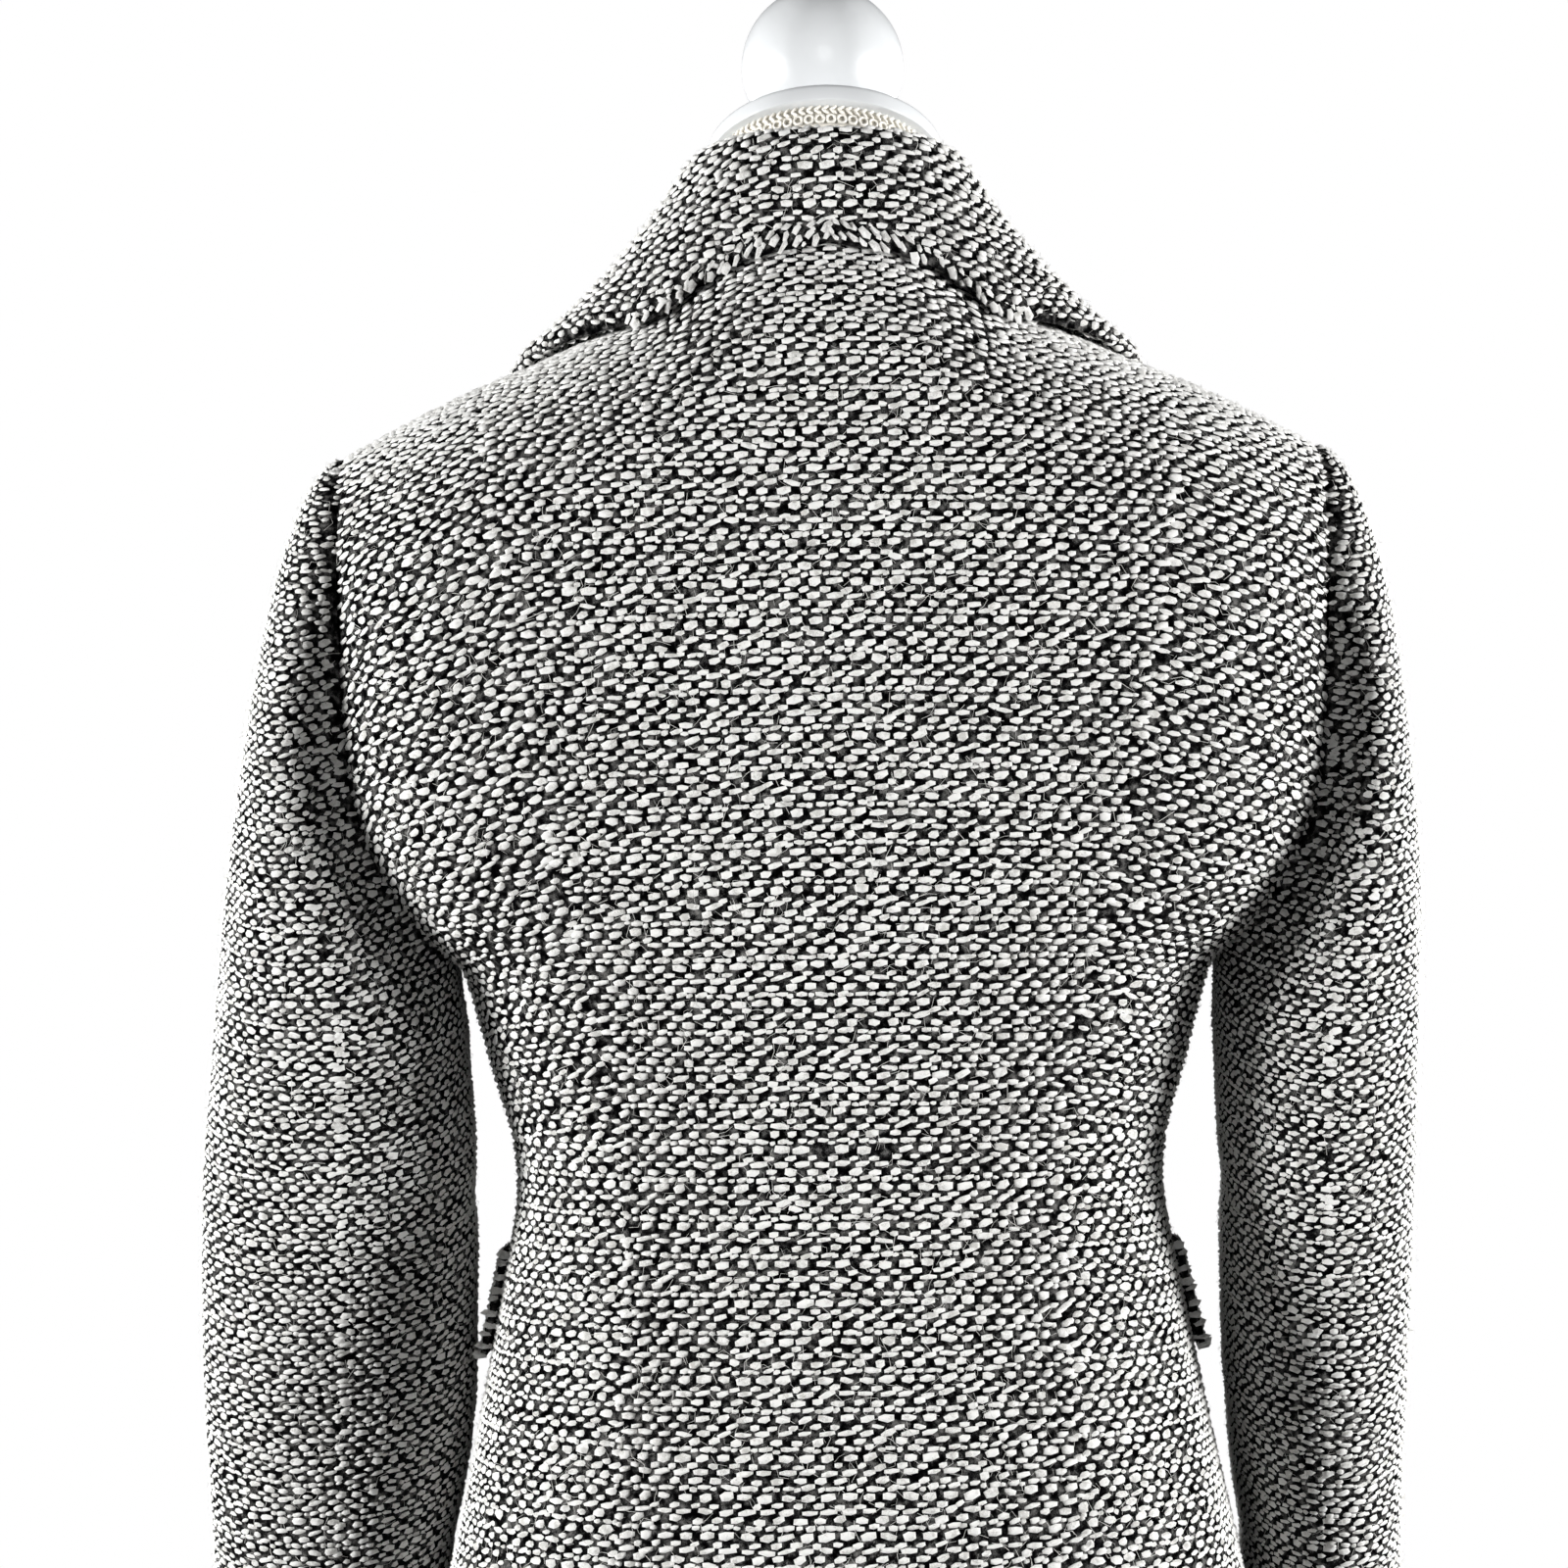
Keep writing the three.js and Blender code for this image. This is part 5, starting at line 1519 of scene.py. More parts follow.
@dataclass
class Sleeve:
    """A two-piece sleeve, by steps down from the armhole and round the arm.

    Attributes:
        square: How square its sections are, 2 being an ellipse.
        cap_out: How far the sleeve head swells outwards, in mm.
        cap_reach: Least and greatest share of the drop over which the head turns down.
        lean: Slope of the weave's rows, up to the front.
        right_share: Depth of the right sleeve's creases against the left one's.
    """

    side: Side
    square: float = 2.15
    cap_out: float = 28.0
    cap_reach: tuple[float, float] = (0.12, 0.6)
    cap_aside: float = 15.0
    cap_steps: int = 5
    fall_steps: int = 7
    back_seam: float = 7.0
    front_seam: float = 12.0
    lean: float = 0.24
    cut: Cut = Cut(Detail.MIDDLE, scale=0.88, fill=0.94, reach=0.6)
    under_cut: Cut = Cut(Detail.PLAIN, scale=0.88, fill=0.9, reach=0.6)
    rows_per_step: tuple[int, int] = (6, 7)
    columns_per_step: int = 4
    first_up: float = -90.0
    reach_drops: tuple[float, float] = (30.0, 200.0)
    swell_drops: tuple[float, float] = (8.0, 110.0)
    cap_ease: float = 1.25
    crease_reach: float = 160.0
    right_share: float = 0.85

    def half_depth(self, half: Grid, girth: Grid) -> Grid:
        """Half depth of a section.

        Args:
            half: Its half width.
            girth: Its girth.

        Returns:
            The half depth, all in mm.
        """
        low, high = np.full_like(half, 10.0), girth / 2
        for _ in range(40):
            b = (low + high) / 2
            h = ((half - b) / (half + b)) ** 2
            around = math.pi * (half + b) * (1 + 3 * h / (10 + np.sqrt(4 - 3 * h)))
            high = np.where(around > girth, b, high)
            low = np.where(around > girth, low, b)
        return low

    def ring(self, turns: Grid, up: Grid) -> Grid:
        """Points of a section.

        Args:
            turns: Half turns from the outside through the back.
            up: Height from the bust line.

        Returns:
            The points in mm.
        """
        table = SLEEVES[self.side]
        inner, outer = table.at(up, "inner"), table.at(up, "outer")
        half = (outer - inner) / 2
        depth = self.half_depth(half, table.at(up, "girth"))
        power = 2 / self.square
        angle = turns * math.pi
        x = self.side.value * ((outer + inner) / 2 + half * signed_power(np.cos(angle), power))
        y = table.at(up, "deep") + depth * signed_power(np.sin(angle), power)
        return np.stack(np.broadcast_arrays(x, y, BUST_LINE + up), axis=-1)

    def points(self, columns: Grid) -> tuple[Grid, Grid, Grid]:
        """Points of the sleeve over fine rows.

        Args:
            columns: Places round the armhole, 0 to 20, from the shoulder tip down the back.

        Returns:
            Points, the half turns of the columns and the height of each point.
        """
        columns = columns % 20
        step = np.where(columns <= 10, columns, 20 - columns)
        share = ARMHOLE.share(step)
        turns = np.where(columns <= 10, share, 2 - share)
        back, front = ARMHOLE.at(share, False), ARMHOLE.at(share, True)
        turn = np.where(columns <= 10, back[0], front[0]) * self.side.value
        rise = np.where(columns <= 10, back[1], front[1])
        start = WORN.place(turn, rise)
        end = self.ring(turns, np.full_like(turns, self.first_up))
        drop = start[:, 2] - end[:, 2]
        reach = mix(*self.cap_reach, smooth_step(drop, *self.reach_drops)) * drop
        swell = smooth_step(drop, *self.swell_drops)[:, None]
        leave = np.zeros_like(start)
        leave[:, 0] = self.side.value * self.cap_out
        leave[:, 1] = self.cap_aside * np.sin(turns * math.pi)
        above = end - self.ring(turns, np.full_like(turns, self.first_up - 10))
        below = end + above * (reach * 0.05)[:, None]
        rows = []
        cap_rows, fall_rows = (
            n * per for n, per in zip((self.cap_steps, self.fall_steps), self.rows_per_step)
        )
        for k in range(cap_rows + 1):
            t = (k / cap_rows) ** self.cap_ease
            rows.append(
                start * (1 - t) ** 3
                + (start + leave * swell) * 3 * t * (1 - t) ** 2
                + below * 3 * t * t * (1 - t)
                + end * t**3
            )
        for up in np.linspace(self.first_up, CUFF_UP, fall_rows + 1)[1:]:
            rows.append(self.ring(turns, np.full_like(turns, up)))
        grid = np.array(rows)
        return grid, turns, grid[..., 2] - BUST_LINE

    def face(self, first: float, last: float) -> Face:
        """The charted face between two columns of the armhole.

        Args:
            first: Its first column.
            last: Its last column.

        Returns:
            The face.
        """
        columns = np.linspace(first, last, int((last - first) * self.columns_per_step) + 1)
        wide = np.concatenate([[columns[0] - 0.2], columns, [columns[-1] + 0.2]])
        grid, turns, up = self.points(wide)
        down = np.gradient(grid, axis=0)
        around = np.gradient(grid, axis=1)
        normal = unit(np.cross(down, around)) * -self.side.value
        if np.mean(np.sum(normal[-20:] * (grid - self.axis(up))[-20:], axis=-1)) < 0:
            normal = -normal
        stand = gentle(turns[None], up, SLEEVE_CREASES, self.crease_reach)
        stand *= 1 if self.side is Side.LEFT else self.right_share
        grid = grid + normal * stand[..., None]
        middle = (20 - first) / (last - first) if last > 20 else 0.0
        return Face(grid[:, 1:-1], normal[:, 1:-1], centre=middle, tube=True, lean=self.lean)

    def axis(self, up: Grid) -> Grid:
        """Middle line of the sleeve.

        Args:
            up: Heights from the bust line.

        Returns:
            Its points in mm.
        """
        table = SLEEVES[self.side]
        x = self.side.value * (table.at(up, "inner") + table.at(up, "outer")) / 2
        return np.stack([x, table.at(up, "deep"), BUST_LINE + up], axis=-1)

    def build(self, boucle: Boucle) -> None:
        """Builds the upper and the under sleeve.

        Args:
            boucle: The weave.
        """
        word = self.side.word
        held = (f"back_side_{word}_cloth", f"front_side_{word}_cloth")
        upper = self.face(self.front_seam, self.back_seam + 20)
        Cloth(f"upper_sleeve_{word}", upper, "hung", held, self.cut).build(boucle)
        under = self.face(self.back_seam, self.front_seam)
        Cloth(f"under_sleeve_{word}", under, "hung", held, self.under_cut).build(boucle)


@dataclass
class Collar:
    """The collar: a stand, a fold and a fall, of an upper and an under layer.

    Attributes:
        longer: How much longer than its solid it is at the centre back, in mm.
        under_show: How far the under layer hangs out: least, and more at the centre back, in mm.
        edge_roll: Radius to which the upper layer's edge is turned over, in mm.
        bias: Rows and slope in degrees of each strip of the under layer that shows.
    """

    fold_radius: float = 4.2
    seat_lift: float = 0.6
    stand_steps: int = 6
    fold_steps: int = 9
    fall_steps: int = 22
    cut: Cut = Cut(scale=1.06, fill=0.93)
    longer: float = 4.0
    under_lift: float = 3.8
    under_show: tuple[float, float] = (0.8, 8.5)
    under_steps: int = 5
    longer_spread: float = 1.8
    show_spread: float = 0.95
    edge_roll: float = 3.0
    edge_turn: tuple[float, float] = (16.0, 128.0)
    edge_rows: int = 8
    rim_height: float = 160.0
    rows_per_step: int = 10
    bias: tuple[tuple[int, int, float], ...] = ((38, 61, 140.0), (60, 83, 40.0))

    def seat(self, seat: float) -> tuple[float, float]:
        """Where the collar is sewn on.

        Args:
            seat: Place along the seam: 0 nape, 1 neck point, 2 its end.

        Returns:
            Turn and rise.
        """
        if seat <= 1:
            neck_turn = WORN.turn_at(*NECK_POINT, False)
            return neck_turn * seat, mix(NAPE_ROUND, SHOULDER_ROUND, seat**1.8)
        up = mix(NECK_POINT[1], COLLAR_END_UP, seat - 1)
        turn = WORN.turn_at(FRONT_EDGE.at(up, "out"), up, True)
        return turn, WORN.rise_at(turn, up)

    def fold_line(self, step: float) -> Grid:
        """A point of the fold line; below 0 it is the other half."""
        out, deep, up = (COLLAR.at(abs(step), c) for c in ("fold_out", "fold_deep", "fold_up"))
        return np.array([-out if step < 0 else out, deep, BUST_LINE + up], float)

    def section(self, step: float, extra: float = 0.0) -> Grid:
        """Middle line of the collar at a step.

        Args:
            step: Place along the collar from the centre back.
            extra: How far the under layer hangs below the edge, in mm.

        Returns:
            Points from the seat over the fold to the edge.
        """
        row = {c: float(COLLAR.at(step, c)) for c in ("out", "over", "lift", "seat")}
        turn, rise = self.seat(row["seat"])
        fold = self.fold_line(step)
        start = WORN.place(turn, rise)
        start = start + unit(fold - start) * (self.seat_lift + SEAM_GAP)
        rim_turn = WORN.turn_at(row["out"], self.rim_height, False)
        rim_rise = min(row["over"], 2 - row["over"]) * SHOULDER_ROUND
        rim_turn = rim_turn if row["over"] <= 1 else 180 - rim_turn
        edge = WORN.place(rim_turn, rim_rise) + WORN.normal(rim_turn, rim_rise) * row["lift"]
        along = unit(self.fold_line(step + 0.05) - self.fold_line(step - 0.05))
        upward = fold - start
        upward = unit(upward - along * upward.dot(along))
        aside = edge - fold
        aside = aside - along * aside.dot(along)
        aside = unit(aside - upward * aside.dot(upward))
        r = self.fold_radius
        edge = edge + unit(edge - fold) * self.longer * math.exp(-((step / self.longer_spread) ** 4))
        hub = fold + aside * r - upward * r
        dx, dz = (edge - hub).dot(aside), (edge - hub).dot(upward)
        finish = math.atan2(dz, dx) + math.acos(r / math.hypot(dx, dz))

        def on_fold(angle: float) -> Grid:
            """A point of the round of the fold."""
            return hub + aside * r * math.cos(angle) + upward * r * math.sin(angle)

        line = [mix(start, on_fold(math.pi), k / self.stand_steps) for k in range(self.stand_steps)]
        line += [
            on_fold(mix(math.pi, finish, k / self.fold_steps)) for k in range(self.fold_steps + 1)
        ]
        line += [
            mix(on_fold(finish), edge, k / self.fall_steps) for k in range(1, self.fall_steps + 1)
        ]
        if extra:
            foot = WORN.place(rim_turn, rim_rise)
            pace = np.linalg.norm(foot - WORN.place(rim_turn, rim_rise - 1))
            for k in range(1, self.under_steps + 1):
                part = k / self.under_steps
                low = rim_rise - (self.longer + extra * part) / pace
                lift = mix(row["lift"], self.under_lift, part)
                line.append(WORN.place(rim_turn, low) + WORN.normal(rim_turn, low) * lift)
        return np.array(line)

    def middle(self, under: bool) -> Grid:
        """The middle surface, from the right end round the back to the left end.

        Args:
            under: Whether the under layer's edge is added.

        Returns:
            A grid of points.
        """
        rows = []
        last = COLLAR.rows[-1][0]
        least, most = self.under_show
        for step in np.linspace(-last, last, 2 * last * self.rows_per_step + 1):
            show = least + most * math.exp(-((step / self.show_spread) ** 4)) if under else 0.0
            line = self.section(abs(step), show)
            line[:, 0] *= -1 if step < 0 else 1
            rows.append(line)
        return np.array(rows)

    def layer(self, offset: float, under: bool, grain: float, roll: float) -> Face:
        """One layer of the collar.

        Args:
            offset: Distance of its outer face from the middle surface.
            under: Whether it is the under layer.
            grain: Slope of the grain in degrees.
            roll: Radius to which its outer edge is turned over, or 0.

        Returns:
            The charted face.
        """
        rows = self.middle(under)
        along, down = np.gradient(rows, axis=0), np.gradient(rows, axis=1)
        outward = unit(np.cross(along, down))
        points = rows + outward * offset
        if roll:
            fall = unit(rows[:, -1] - rows[:, -2])
            hub = rows[:, -1] + outward[:, -1] * (offset - roll)
            more, bent = [], []
            for angle in np.radians(np.linspace(*self.edge_turn, self.edge_rows)):
                face = outward[:, -1] * math.cos(angle) + fall * math.sin(angle)
                more.append(hub + face * roll)
                bent.append(face)
            points = np.concatenate([points, np.stack(more, axis=1)], axis=1)
            outward = np.concatenate([outward, np.stack(bent, axis=1)], axis=1)
        return Face(points, outward, grain=grain, groove=0.0, base_row=len(points) // 2)

    def build(self, boucle: Boucle) -> None:
        """Builds both layers.

        Args:
            boucle: The weave.
        """
        top = self.layer(SEAM_GAP / 2 + CLOTH, False, 90.0, self.edge_roll)
        Cloth("upper_collar", top, "folded", ("under_collar_cloth",), self.cut).build(boucle)
        under = self.layer(-SEAM_GAP / 2, True, 90.0, 0.0)
        low = -self.under_steps - 1
        strips = tuple(
            Face(under.points[a:b, low:], under.normals[a:b, low:], grain=slope, groove=0.0)
            for a, b, slope in self.bias
        )
        under.normals = -under.normals
        under.points = under.points + under.normals * CLOTH
        on = ("back_bodice_cloth",)
        Cloth("under_collar", under, "folded", on, Cut(Detail.PLAIN), strips).build(boucle)


@dataclass
class Facings:
    """The lapels and the pocket flaps, which lie on the fronts."""

    lapel_lift: float = 3.0
    lapel_start: tuple[float, float] = (1.2, 0.0)
    lapel_rows: int = 40
    lapel_columns: int = 26
    lapel_grain: float = 24.0
    flap_top: float = -176.0
    flap_foot: float = -216.0
    flap_from: float = 84.0
    flap_to: float = 134.0
    flap_corner: float = 9.0
    flap_flare: float = 1.5
    flap_rows: int = 16
    flap_columns: int = 30
    bodice: Bodice = field(default_factory=Bodice)

    def lapel(self, side: Side) -> Face:
        """A lapel, turned back over the front.

        Args:
            side: The wearer's side.

        Returns:
            The charted face.
        """
        first = self.lapel_start[0 if side is Side.LEFT else 1]
        part = np.linspace(0, 1, self.lapel_rows + 1)
        step = mix(first, LAPEL.rows[-1][0], part)
        roll_up = LAPEL.at(step, "roll_up")
        roll = WORN.turn_at(FRONT_EDGE.at(roll_up, "out"), roll_up, True)
        edge_up, edge_out = LAPEL.at(step, "edge_up"), LAPEL.at(step, "edge_out")
        edge = WORN.turn_at(edge_out, edge_up, True)
        turn, rise = Bodice.between(
            (roll, WORN.rise_at(roll, roll_up)), (edge, WORN.rise_at(edge, edge_up)),
            self.lapel_columns,
        )
        t = np.linspace(0, 1, self.lapel_columns + 1)[None]
        bulge = self.lapel_lift * (1 - t) ** 2 * part[:, None]
        lap = self.bodice.lap_lift(turn) if side is Side.RIGHT else 0.0
        lift = CLOTH + LAYER_GAP + bulge + lap
        return self.bodice.face(turn, rise, side, lift, grain=self.lapel_grain)

    def flap(self, side: Side) -> Face:
        """A pocket flap with a rounded back corner, a little off the peplum at its foot.

        Args:
            side: The wearer's side.

        Returns:
            The charted face.
        """
        down = np.linspace(0, 1, self.flap_rows + 1)[:, None]
        aside = np.linspace(0, 1, self.flap_columns + 1)[None]
        curve = self.flap_corner * (1 - np.sqrt(1 - down**4)) * 0.5
        turn = mix(self.flap_from + curve, self.flap_to, aside)
        rise = WORN.rise_at(turn, mix(self.flap_top, self.flap_foot, down))
        lift = CLOTH + LAYER_GAP + self.flap_flare * down
        return self.bodice.face(turn, rise, side, lift + np.zeros_like(turn))

    @staticmethod
    def flap_end(flap: Face) -> Face:
        """The back end of a flap, across its thickness.

        Args:
            flap: The flap's face.

        Returns:
            The charted end.
        """
        edge, out = flap.points[:, :1], flap.normals[:, :1]
        points = edge - out * (CLOTH * np.linspace(0, 1, 4))[None, :, None]
        back = unit(edge - flap.points[:, 1:2])
        return Face(points, np.repeat(back, 4, axis=1), groove=0.0)

    def build(self, boucle: Boucle) -> None:
        """Builds the lapels and the flaps.

        Args:
            boucle: The weave.
        """
        plain = Cut(Detail.PLAIN)
        for side in Side:
            word = side.word
            front = (f"front_{word}_cloth",)
            Cloth(f"lapel_{word}", self.lapel(side), "folded", front, plain).build(boucle)
            skirt = (f"front_side_peplum_{word}_cloth",)
            flap = self.flap(side)
            ends = (self.flap_end(flap),)
            Cloth(f"pocket_flap_{word}", flap, "hung", skirt, plain, ends).build(boucle)


def turned(name: str, profile: Grid, sides: int = 96) -> bpy.types.Object:
    """A round body about Z.

    Args:
        name: Name of the piece.
        profile: Pairs of radius and height in mm that start and end on the axis.
        sides: Number of its sides.

    Returns:
        The body.
    """
    profile = np.asarray(profile, float)
    angle = np.linspace(0, 2 * math.pi, sides, endpoint=False)
    rings = profile[1:-1]
    radius, height = rings[:, :1], rings[:, 1:]
    points = np.stack(
        np.broadcast_arrays(radius * np.cos(angle), radius * np.sin(angle), height), axis=-1
    ).reshape(-1, 3)
    faces = list(grid_faces(len(rings), sides, closed=True))
    points = np.vstack([points, [[0, 0, profile[0, 1]], [0, 0, profile[-1, 1]]]])
    last = (len(rings) - 1) * sides
    for k in range(sides):
        n = (k + 1) % sides
        faces.append([len(points) - 2, n, k])
        faces.append([len(points) - 1, last + k, last + n])
    piece = mesh_object(name, points, faces)
    piece.data.set_sharp_from_angle(angle=math.radians(38))
    return piece


@dataclass
class DressForm:
    """The limbless form with its neck plate, finial, braid, pole and base.

    Attributes:
        dents: Direction from the ball's middle and depth in mm of each dent.
        stitch_rows: Height and slope of each row of the braid's stitches.
        base: Profile of the stand's base, in pairs of radius and height.
    """

    plate_radius: float = 45.0
    plate_thick: float = 8.0
    plate_round: float = 3.0
    ball: float = 31.3
    ball_up: float = 38.0
    stem: float = 13.0
    neck_radius: float = 41.0
    braid_height: float = 9.0
    dents: tuple[tuple[float, float, float, float], ...] = (
        (0.5, 0.8, 0.2, 0.5),
        (-0.6, 0.7, 0.35, 0.4),
        (0.1, 0.9, -0.4, 0.45),
        (-0.3, -0.8, 0.3, 0.5),
        (0.7, -0.5, 0.1, 0.4),
    )
    dent_spread: float = 0.05
    dents_from: float = 8.0
    band_out: float = 0.9
    stitch_out: float = 1.5
    stitches: int = 92
    stitch_rows: tuple[tuple[float, float], ...] = ((-1.7, 38.0), (-3.2, -38.0))
    loops: int = 66
    loop_row: tuple[float, float] = (-6.4, 0.0)
    braid_seed: int = 3
    pole_radius: float = 16.0
    pole_foot: float = 44.3
    torso_foot_up: float = -460.0
    base: tuple[tuple[float, float], ...] = (
        (0, 0), (179, 0), (180, 1), (180, 13), (178.6, 14.8), (172, 17), (120, 21.5), (70, 26),
        (34, 28.6), (30, 31), (27.5, 36), (27, 43), (26, 44), (0, 44),
    )

    def __post_init__(self) -> None:
        """Makes the finishes and the tilt of the neck."""
        self.paint = PlainFinish("white_gloss_paint", (0.66, 0.675, 0.685), 0.3, 0.3, 0.0012, 34).make()
        self.cloth = PlainFinish("cream_cotton", (0.84, 0.81, 0.75), 0.9, 0.0, 0.0002, 1400).make()
        self.gimp = PlainFinish("cream_gimp", (0.86, 0.83, 0.76), 0.75, 0.0, 0.0002, 1800).make()
        tilt = Matrix.Rotation(math.radians(NECK_TILT), 4, "X")
        self.neck = Matrix.Translation(Vector(PLATE_HUB) * MM) @ tilt

    def top(self) -> None:
        """The neck plate and the ball finial, with slight dents in the ball's paint."""
        r, t, soft = self.plate_radius, self.plate_thick, self.plate_round
        bend = [
            (r - soft + soft * math.sin(a), SEAM_GAP + t - soft + soft * math.cos(a))
            for a in np.linspace(math.pi / 2, 0, 8)
        ]
        foot = [(r - 1, SEAM_GAP), (r - 0.3, SEAM_GAP + 0.3), (r, SEAM_GAP + 1)]
        plate = turned("neck_plate_smooth", [(0, SEAM_GAP), *foot, *bend, (0, SEAM_GAP + t)], 128)
        plate.data.transform(self.neck)
        declare(plate, "neck_plate", self.paint)
        low = t + 2 * SEAM_GAP
        angles = np.linspace(-math.acos(self.stem / self.ball), math.pi / 2, 40)[:-1]
        round_part = [
            (self.ball * math.cos(a), low + self.ball_up + self.ball * math.sin(a)) for a in angles
        ]
        tip = (0, low + self.ball_up + self.ball)
        ball = turned("ball_finial", [(0, low), (self.stem, low), *round_part, tip])
        places = np.array([v.co for v in ball.data.vertices], float)
        facing = unit(places - [0, 0, (low + self.ball_up) * MM])
        for *aim, depth in self.dents:
            near = np.exp(-((1 - facing @ unit(np.array(aim))) / self.dent_spread))
            on_ball = places[:, 2] > (low + self.dents_from) * MM
            places = places - facing * (near * depth * MM * on_ball)[:, None]
        ball.data.vertices.foreach_set("co", places.ravel())
        ball.data.transform(self.neck)
        declare(ball, "finial", self.paint)

    def braid(self) -> None:
        """The gimp braid: a herringbone row of stitches above a row of loops."""
        r = self.neck_radius
        stitch = turned(
            "gimp_stitch",
            [(0, -500), *[(210 * math.cos(a), 500 * math.sin(a)) for a in np.linspace(-1.2, 1.2, 7)],
             (0, 500)], 8,
        )
        stitch.data.transform(Matrix.Rotation(math.pi / 2, 4, "Y"))
        foot, head, face = 1 - self.braid_height, -0.7, r + self.band_out
        band = turned("gimp_band", [(0, foot), (face, foot), (face, head), (0, head)])
        band.data.materials.append(self.gimp)
        band.data.transform(self.neck)
        pieces = [band]
        for name, shape, count, rows, size in (
            ("gimp_herringbone", stitch, self.stitches, self.stitch_rows, (3.2, 3.2, 3.2)),
            ("gimp_loops", self.loop(), self.loops, (self.loop_row,), (4.4, 4.6, 3.4)),
        ):
            one = bpy.data.collections.new(name)
            if shape.name in bpy.context.collection.objects:
                bpy.context.collection.objects.unlink(shape)
            one.objects.link(shape)
            tree = Scatter(name, one)
            for k, (height, slope) in enumerate(rows):
                angle = np.linspace(0, 2 * math.pi, count, endpoint=False)
                out = np.column_stack([np.cos(angle), np.sin(angle), np.zeros(count)])
                around = np.column_stack([-np.sin(angle), np.cos(angle), np.zeros(count)])
                c, s = math.cos(math.radians(slope)), math.sin(math.radians(slope))
                long = around * c + np.array([[0, 0, s]])
                points = out * (r + self.stitch_out) + [[0, 0, height]]
                made = tree.lay(
                    f"{name}_{k}", points, (long, out), np.tile(size, (count, 1)),
                    np.column_stack([angle / 7, np.full(count, 0.5)]), self.gimp, self.braid_seed,
                )
                made.data.transform(self.neck)
                pieces.append(made)
        for k, piece in enumerate(pieces):
            declare(piece, "neck_braid" if k == 0 else None, self.gimp)

    @staticmethod
    def loop(around: int = 14, sides: int = 6) -> bpy.types.Object:
        """A loop of the gimp, 1 across and lying flat.

        Args:
            around: Number of its sections.
            sides: Sides of a section.

        Returns:
            The loop, kept out of the scene.
        """
        i, j = np.meshgrid(np.arange(around), np.arange(sides), indexing="ij")
        a, b = 2 * math.pi * i / around, 2 * math.pi * j / sides
        d = 0.36 + 0.13 * np.cos(b)
        points = np.stack([d * np.cos(a), d * np.sin(a), 0.16 * np.sin(b)], axis=-1)
        n, m = (i + 1) % around, (j + 1) % sides
        corners = [i * sides + j, n * sides + j, n * sides + m, i * sides + m]
        mesh = bpy.data.meshes.new("gimp_loop")
        faces = np.stack(corners, axis=-1).reshape(-1, 4)
        mesh.from_pydata(points.reshape(-1, 3).tolist(), [], faces.tolist())
        return bpy.data.objects.new("gimp_loop", mesh)

    def torso(self) -> None:
        """The smooth torso over its solid."""
        source = frame["nodes"]["form_torso"]
        mesh = source.data.copy()
        mesh.materials.clear()
        work = bmesh.new()
        work.from_mesh(mesh)
        bmesh.ops.remove_doubles(work, verts=work.verts, dist=1e-5)
        crease = work.edges.layers.float.new("crease_edge")
        for edge in work.edges:
            if len(edge.link_faces) == 2 and edge.calc_face_angle(0) > math.radians(50):
                edge[crease] = 1.0
        bmesh.ops.join_triangles(
            work, faces=work.faces, angle_face_threshold=math.radians(40),
            angle_shape_threshold=math.radians(40),
        )
        work.to_mesh(mesh)
        work.free()
        piece = in_scene("form_torso_smooth", mesh)
        smooth = piece.modifiers.new("smooth", "SUBSURF")
        smooth.levels = smooth.render_levels = 2
        fine = evaluated(piece)
        piece.modifiers.clear()
        piece.data = fine
        fine.set_sharp_from_angle(angle=math.radians(40))
        declare(piece, "form_torso", self.cloth)

    def stand(self) -> None:
        """The pole and the round base."""
        r, foot = self.pole_radius, self.pole_foot
        head = BUST_LINE + self.torso_foot_up - SEAM_GAP
        pole = turned("stand_pole_smooth", [(0, foot), (r, foot), (r, head), (0, head)], 64)
        declare(pole, "stand_pole", self.paint)
        base = turned("stand_base_smooth", self.base, 128)
        declare(base, "stand_base", self.paint)

    def build(self) -> None:
        """Builds the whole form."""
        self.torso()
        self.top()
        self.braid()
        self.stand()


@dataclass
class Buttons:
    """Three dark buttons down the front, with a dished face and a raised rim."""

    count: int = 3
    radius: float = 11.0

    def build(self) -> None:
        """Builds each button over its solid."""
        finish = PlainFinish("dark_button", (0.02, 0.019, 0.018), 0.3, 0.4).make()
        for k in range(1, self.count + 1):
            node = frame["nodes"][f"button_{k}"]
            places = np.array([v.co for v in node.data.vertices])
            middle = places.mean(axis=0)
            _, _, axes = np.linalg.svd(places - middle, full_matrices=False)
            out = axes[2] if axes[2][1] < 0 else -axes[2]
            height = (places - middle) @ out
            seat = middle + out * height.min()
            r = self.radius
            profile = [(0, 0), (r - 1.6, 0), (r - 0.4, 0.7), (r, 1.8), (r, 2.8), (r - 0.5, 3.6),
                       (r - 1.4, 4), (r - 2.4, 3.7), (r - 3.4, 3), (r - 5, 2.7), (0, 2.7)]
            piece = turned(f"button_{k}_smooth", profile, 64)
            turn = Vector((0, 0, 1)).rotation_difference(Vector(out)).to_matrix().to_4x4()
            piece.data.transform(Matrix.Translation(Vector(seat)) @ turn)
            declare(piece, f"button_{k}", finish)


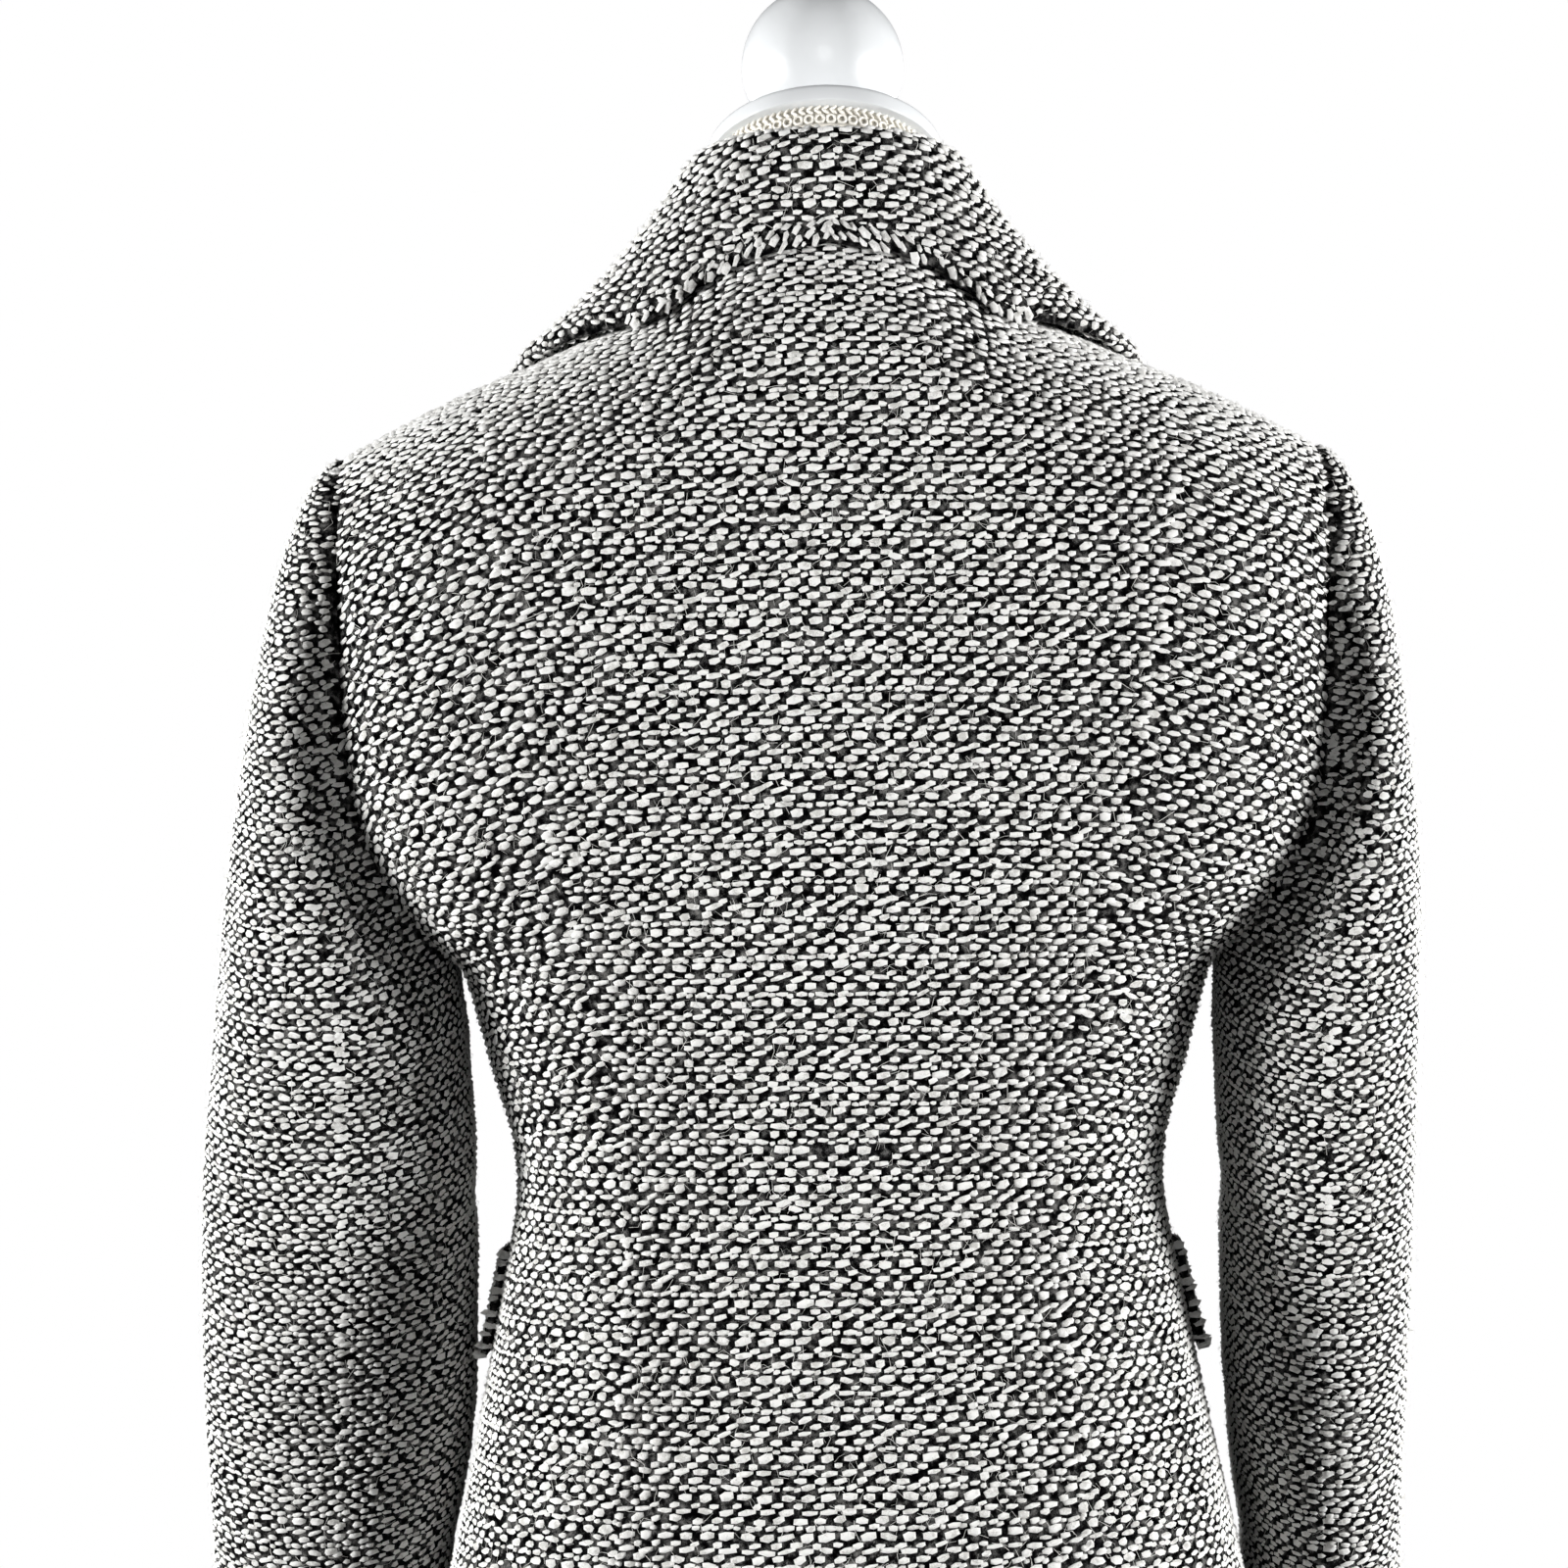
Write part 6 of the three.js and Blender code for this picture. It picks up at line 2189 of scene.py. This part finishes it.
@dataclass
class Studio:
    """The floor, the light and the camera.

    Attributes:
        lamps: Name, place in metres, size in metres and watts of each soft light.
        aim: The point that they are turned to.
        surround: Brightness of the pale surround where it lights the blazer.
    """

    lamps: tuple[tuple[str, tuple[float, float, float], float, float], ...] = (
        ("left_soft", (2.25, 0.8, 1.3), 0.7, 96.0),
        ("right_soft", (-2.25, 0.84, 1.25), 0.7, 96.0),
        ("high_soft", (0.0, 2.2, 1.9), 0.7, 4.0),
        ("left_front_soft", (1.7, -1.9, 1.5), 1.2, 34.0),
        ("right_front_soft", (-1.7, -1.9, 1.5), 1.2, 34.0),
    )
    aim: tuple[float, float, float] = (0.0, 0.0, 1.15)
    surround: float = 0.03
    floor_radius: float = 900.0
    distance: float = 1.45
    aside: float = 0.019
    height: float = 1.18
    angle: float = 23.2
    roll: float = -0.85

    def floor(self) -> None:
        """A plain pale disc."""
        r = self.floor_radius
        floor = turned("floor", [(0, -6), (r, -6), (r, -0.5), (0, -0.5)])
        floor.data.materials.append(PlainFinish("pale_floor", (0.62, 0.62, 0.62), 0.9).make())

    def light(self) -> None:
        """Soft lights at both sides, in front and above, and a pale surround."""
        for name, place, size, watts in self.lamps:
            lamp = bpy.data.lights.new(name, "AREA")
            lamp.shape = "DISK"
            lamp.size = size
            lamp.energy = watts
            holder = bpy.data.objects.new(name, lamp)
            holder.location = place
            aim = Vector(self.aim) - Vector(place)
            holder.rotation_euler = aim.to_track_quat("-Z", "Y").to_euler()
            bpy.context.collection.objects.link(holder)
        world = bpy.data.worlds.new("pale_surround")
        world.use_nodes = True
        nodes, links = world.node_tree.nodes, world.node_tree.links
        seen, soft = nodes["Background"], nodes.new("ShaderNodeBackground")
        for pale, strength in ((seen, 1.0), (soft, self.surround)):
            pale.inputs["Color"].default_value = (1, 1, 1, 1)
            pale.inputs["Strength"].default_value = strength
        path = nodes.new("ShaderNodeLightPath")
        blend = nodes.new("ShaderNodeMixShader")
        links.new(path.outputs["Is Camera Ray"], blend.inputs[0])
        links.new(soft.outputs[0], blend.inputs[1])
        links.new(seen.outputs[0], blend.inputs[2])
        links.new(blend.outputs[0], nodes["World Output"].inputs["Surface"])
        bpy.context.scene.world = world
        bpy.context.scene.view_settings.view_transform = "Standard"

    def camera(self) -> None:
        """The camera behind the blazer, level with the bust line."""
        lens = bpy.data.cameras.new("camera")
        lens.angle = math.radians(self.angle)
        holder = bpy.data.objects.new("camera", lens)
        turn = Matrix.Rotation(math.pi, 4, "Z") @ Matrix.Rotation(math.pi / 2, 4, "X")
        turn = turn @ Matrix.Rotation(math.radians(self.roll), 4, "Z")
        holder.matrix_world = Matrix.Translation((self.aside, self.distance, self.height)) @ turn
        bpy.context.collection.objects.link(holder)
        bpy.context.scene.camera = holder

    def build(self) -> None:
        """Sets the studio up."""
        self.floor()
        self.light()
        self.camera()


def main() -> None:
    """Builds every piece in order."""
    logging.basicConfig(level=logging.INFO, format="%(message)s")
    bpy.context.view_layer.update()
    boucle = Boucle()
    Bodice().build(boucle)
    for side in Side:
        Sleeve(side).build(boucle)
    Collar().build(boucle)
    Facings().build(boucle)
    Buttons().build()
    DressForm().build()
    Studio().build()


if __name__ == "__main__":
    main()
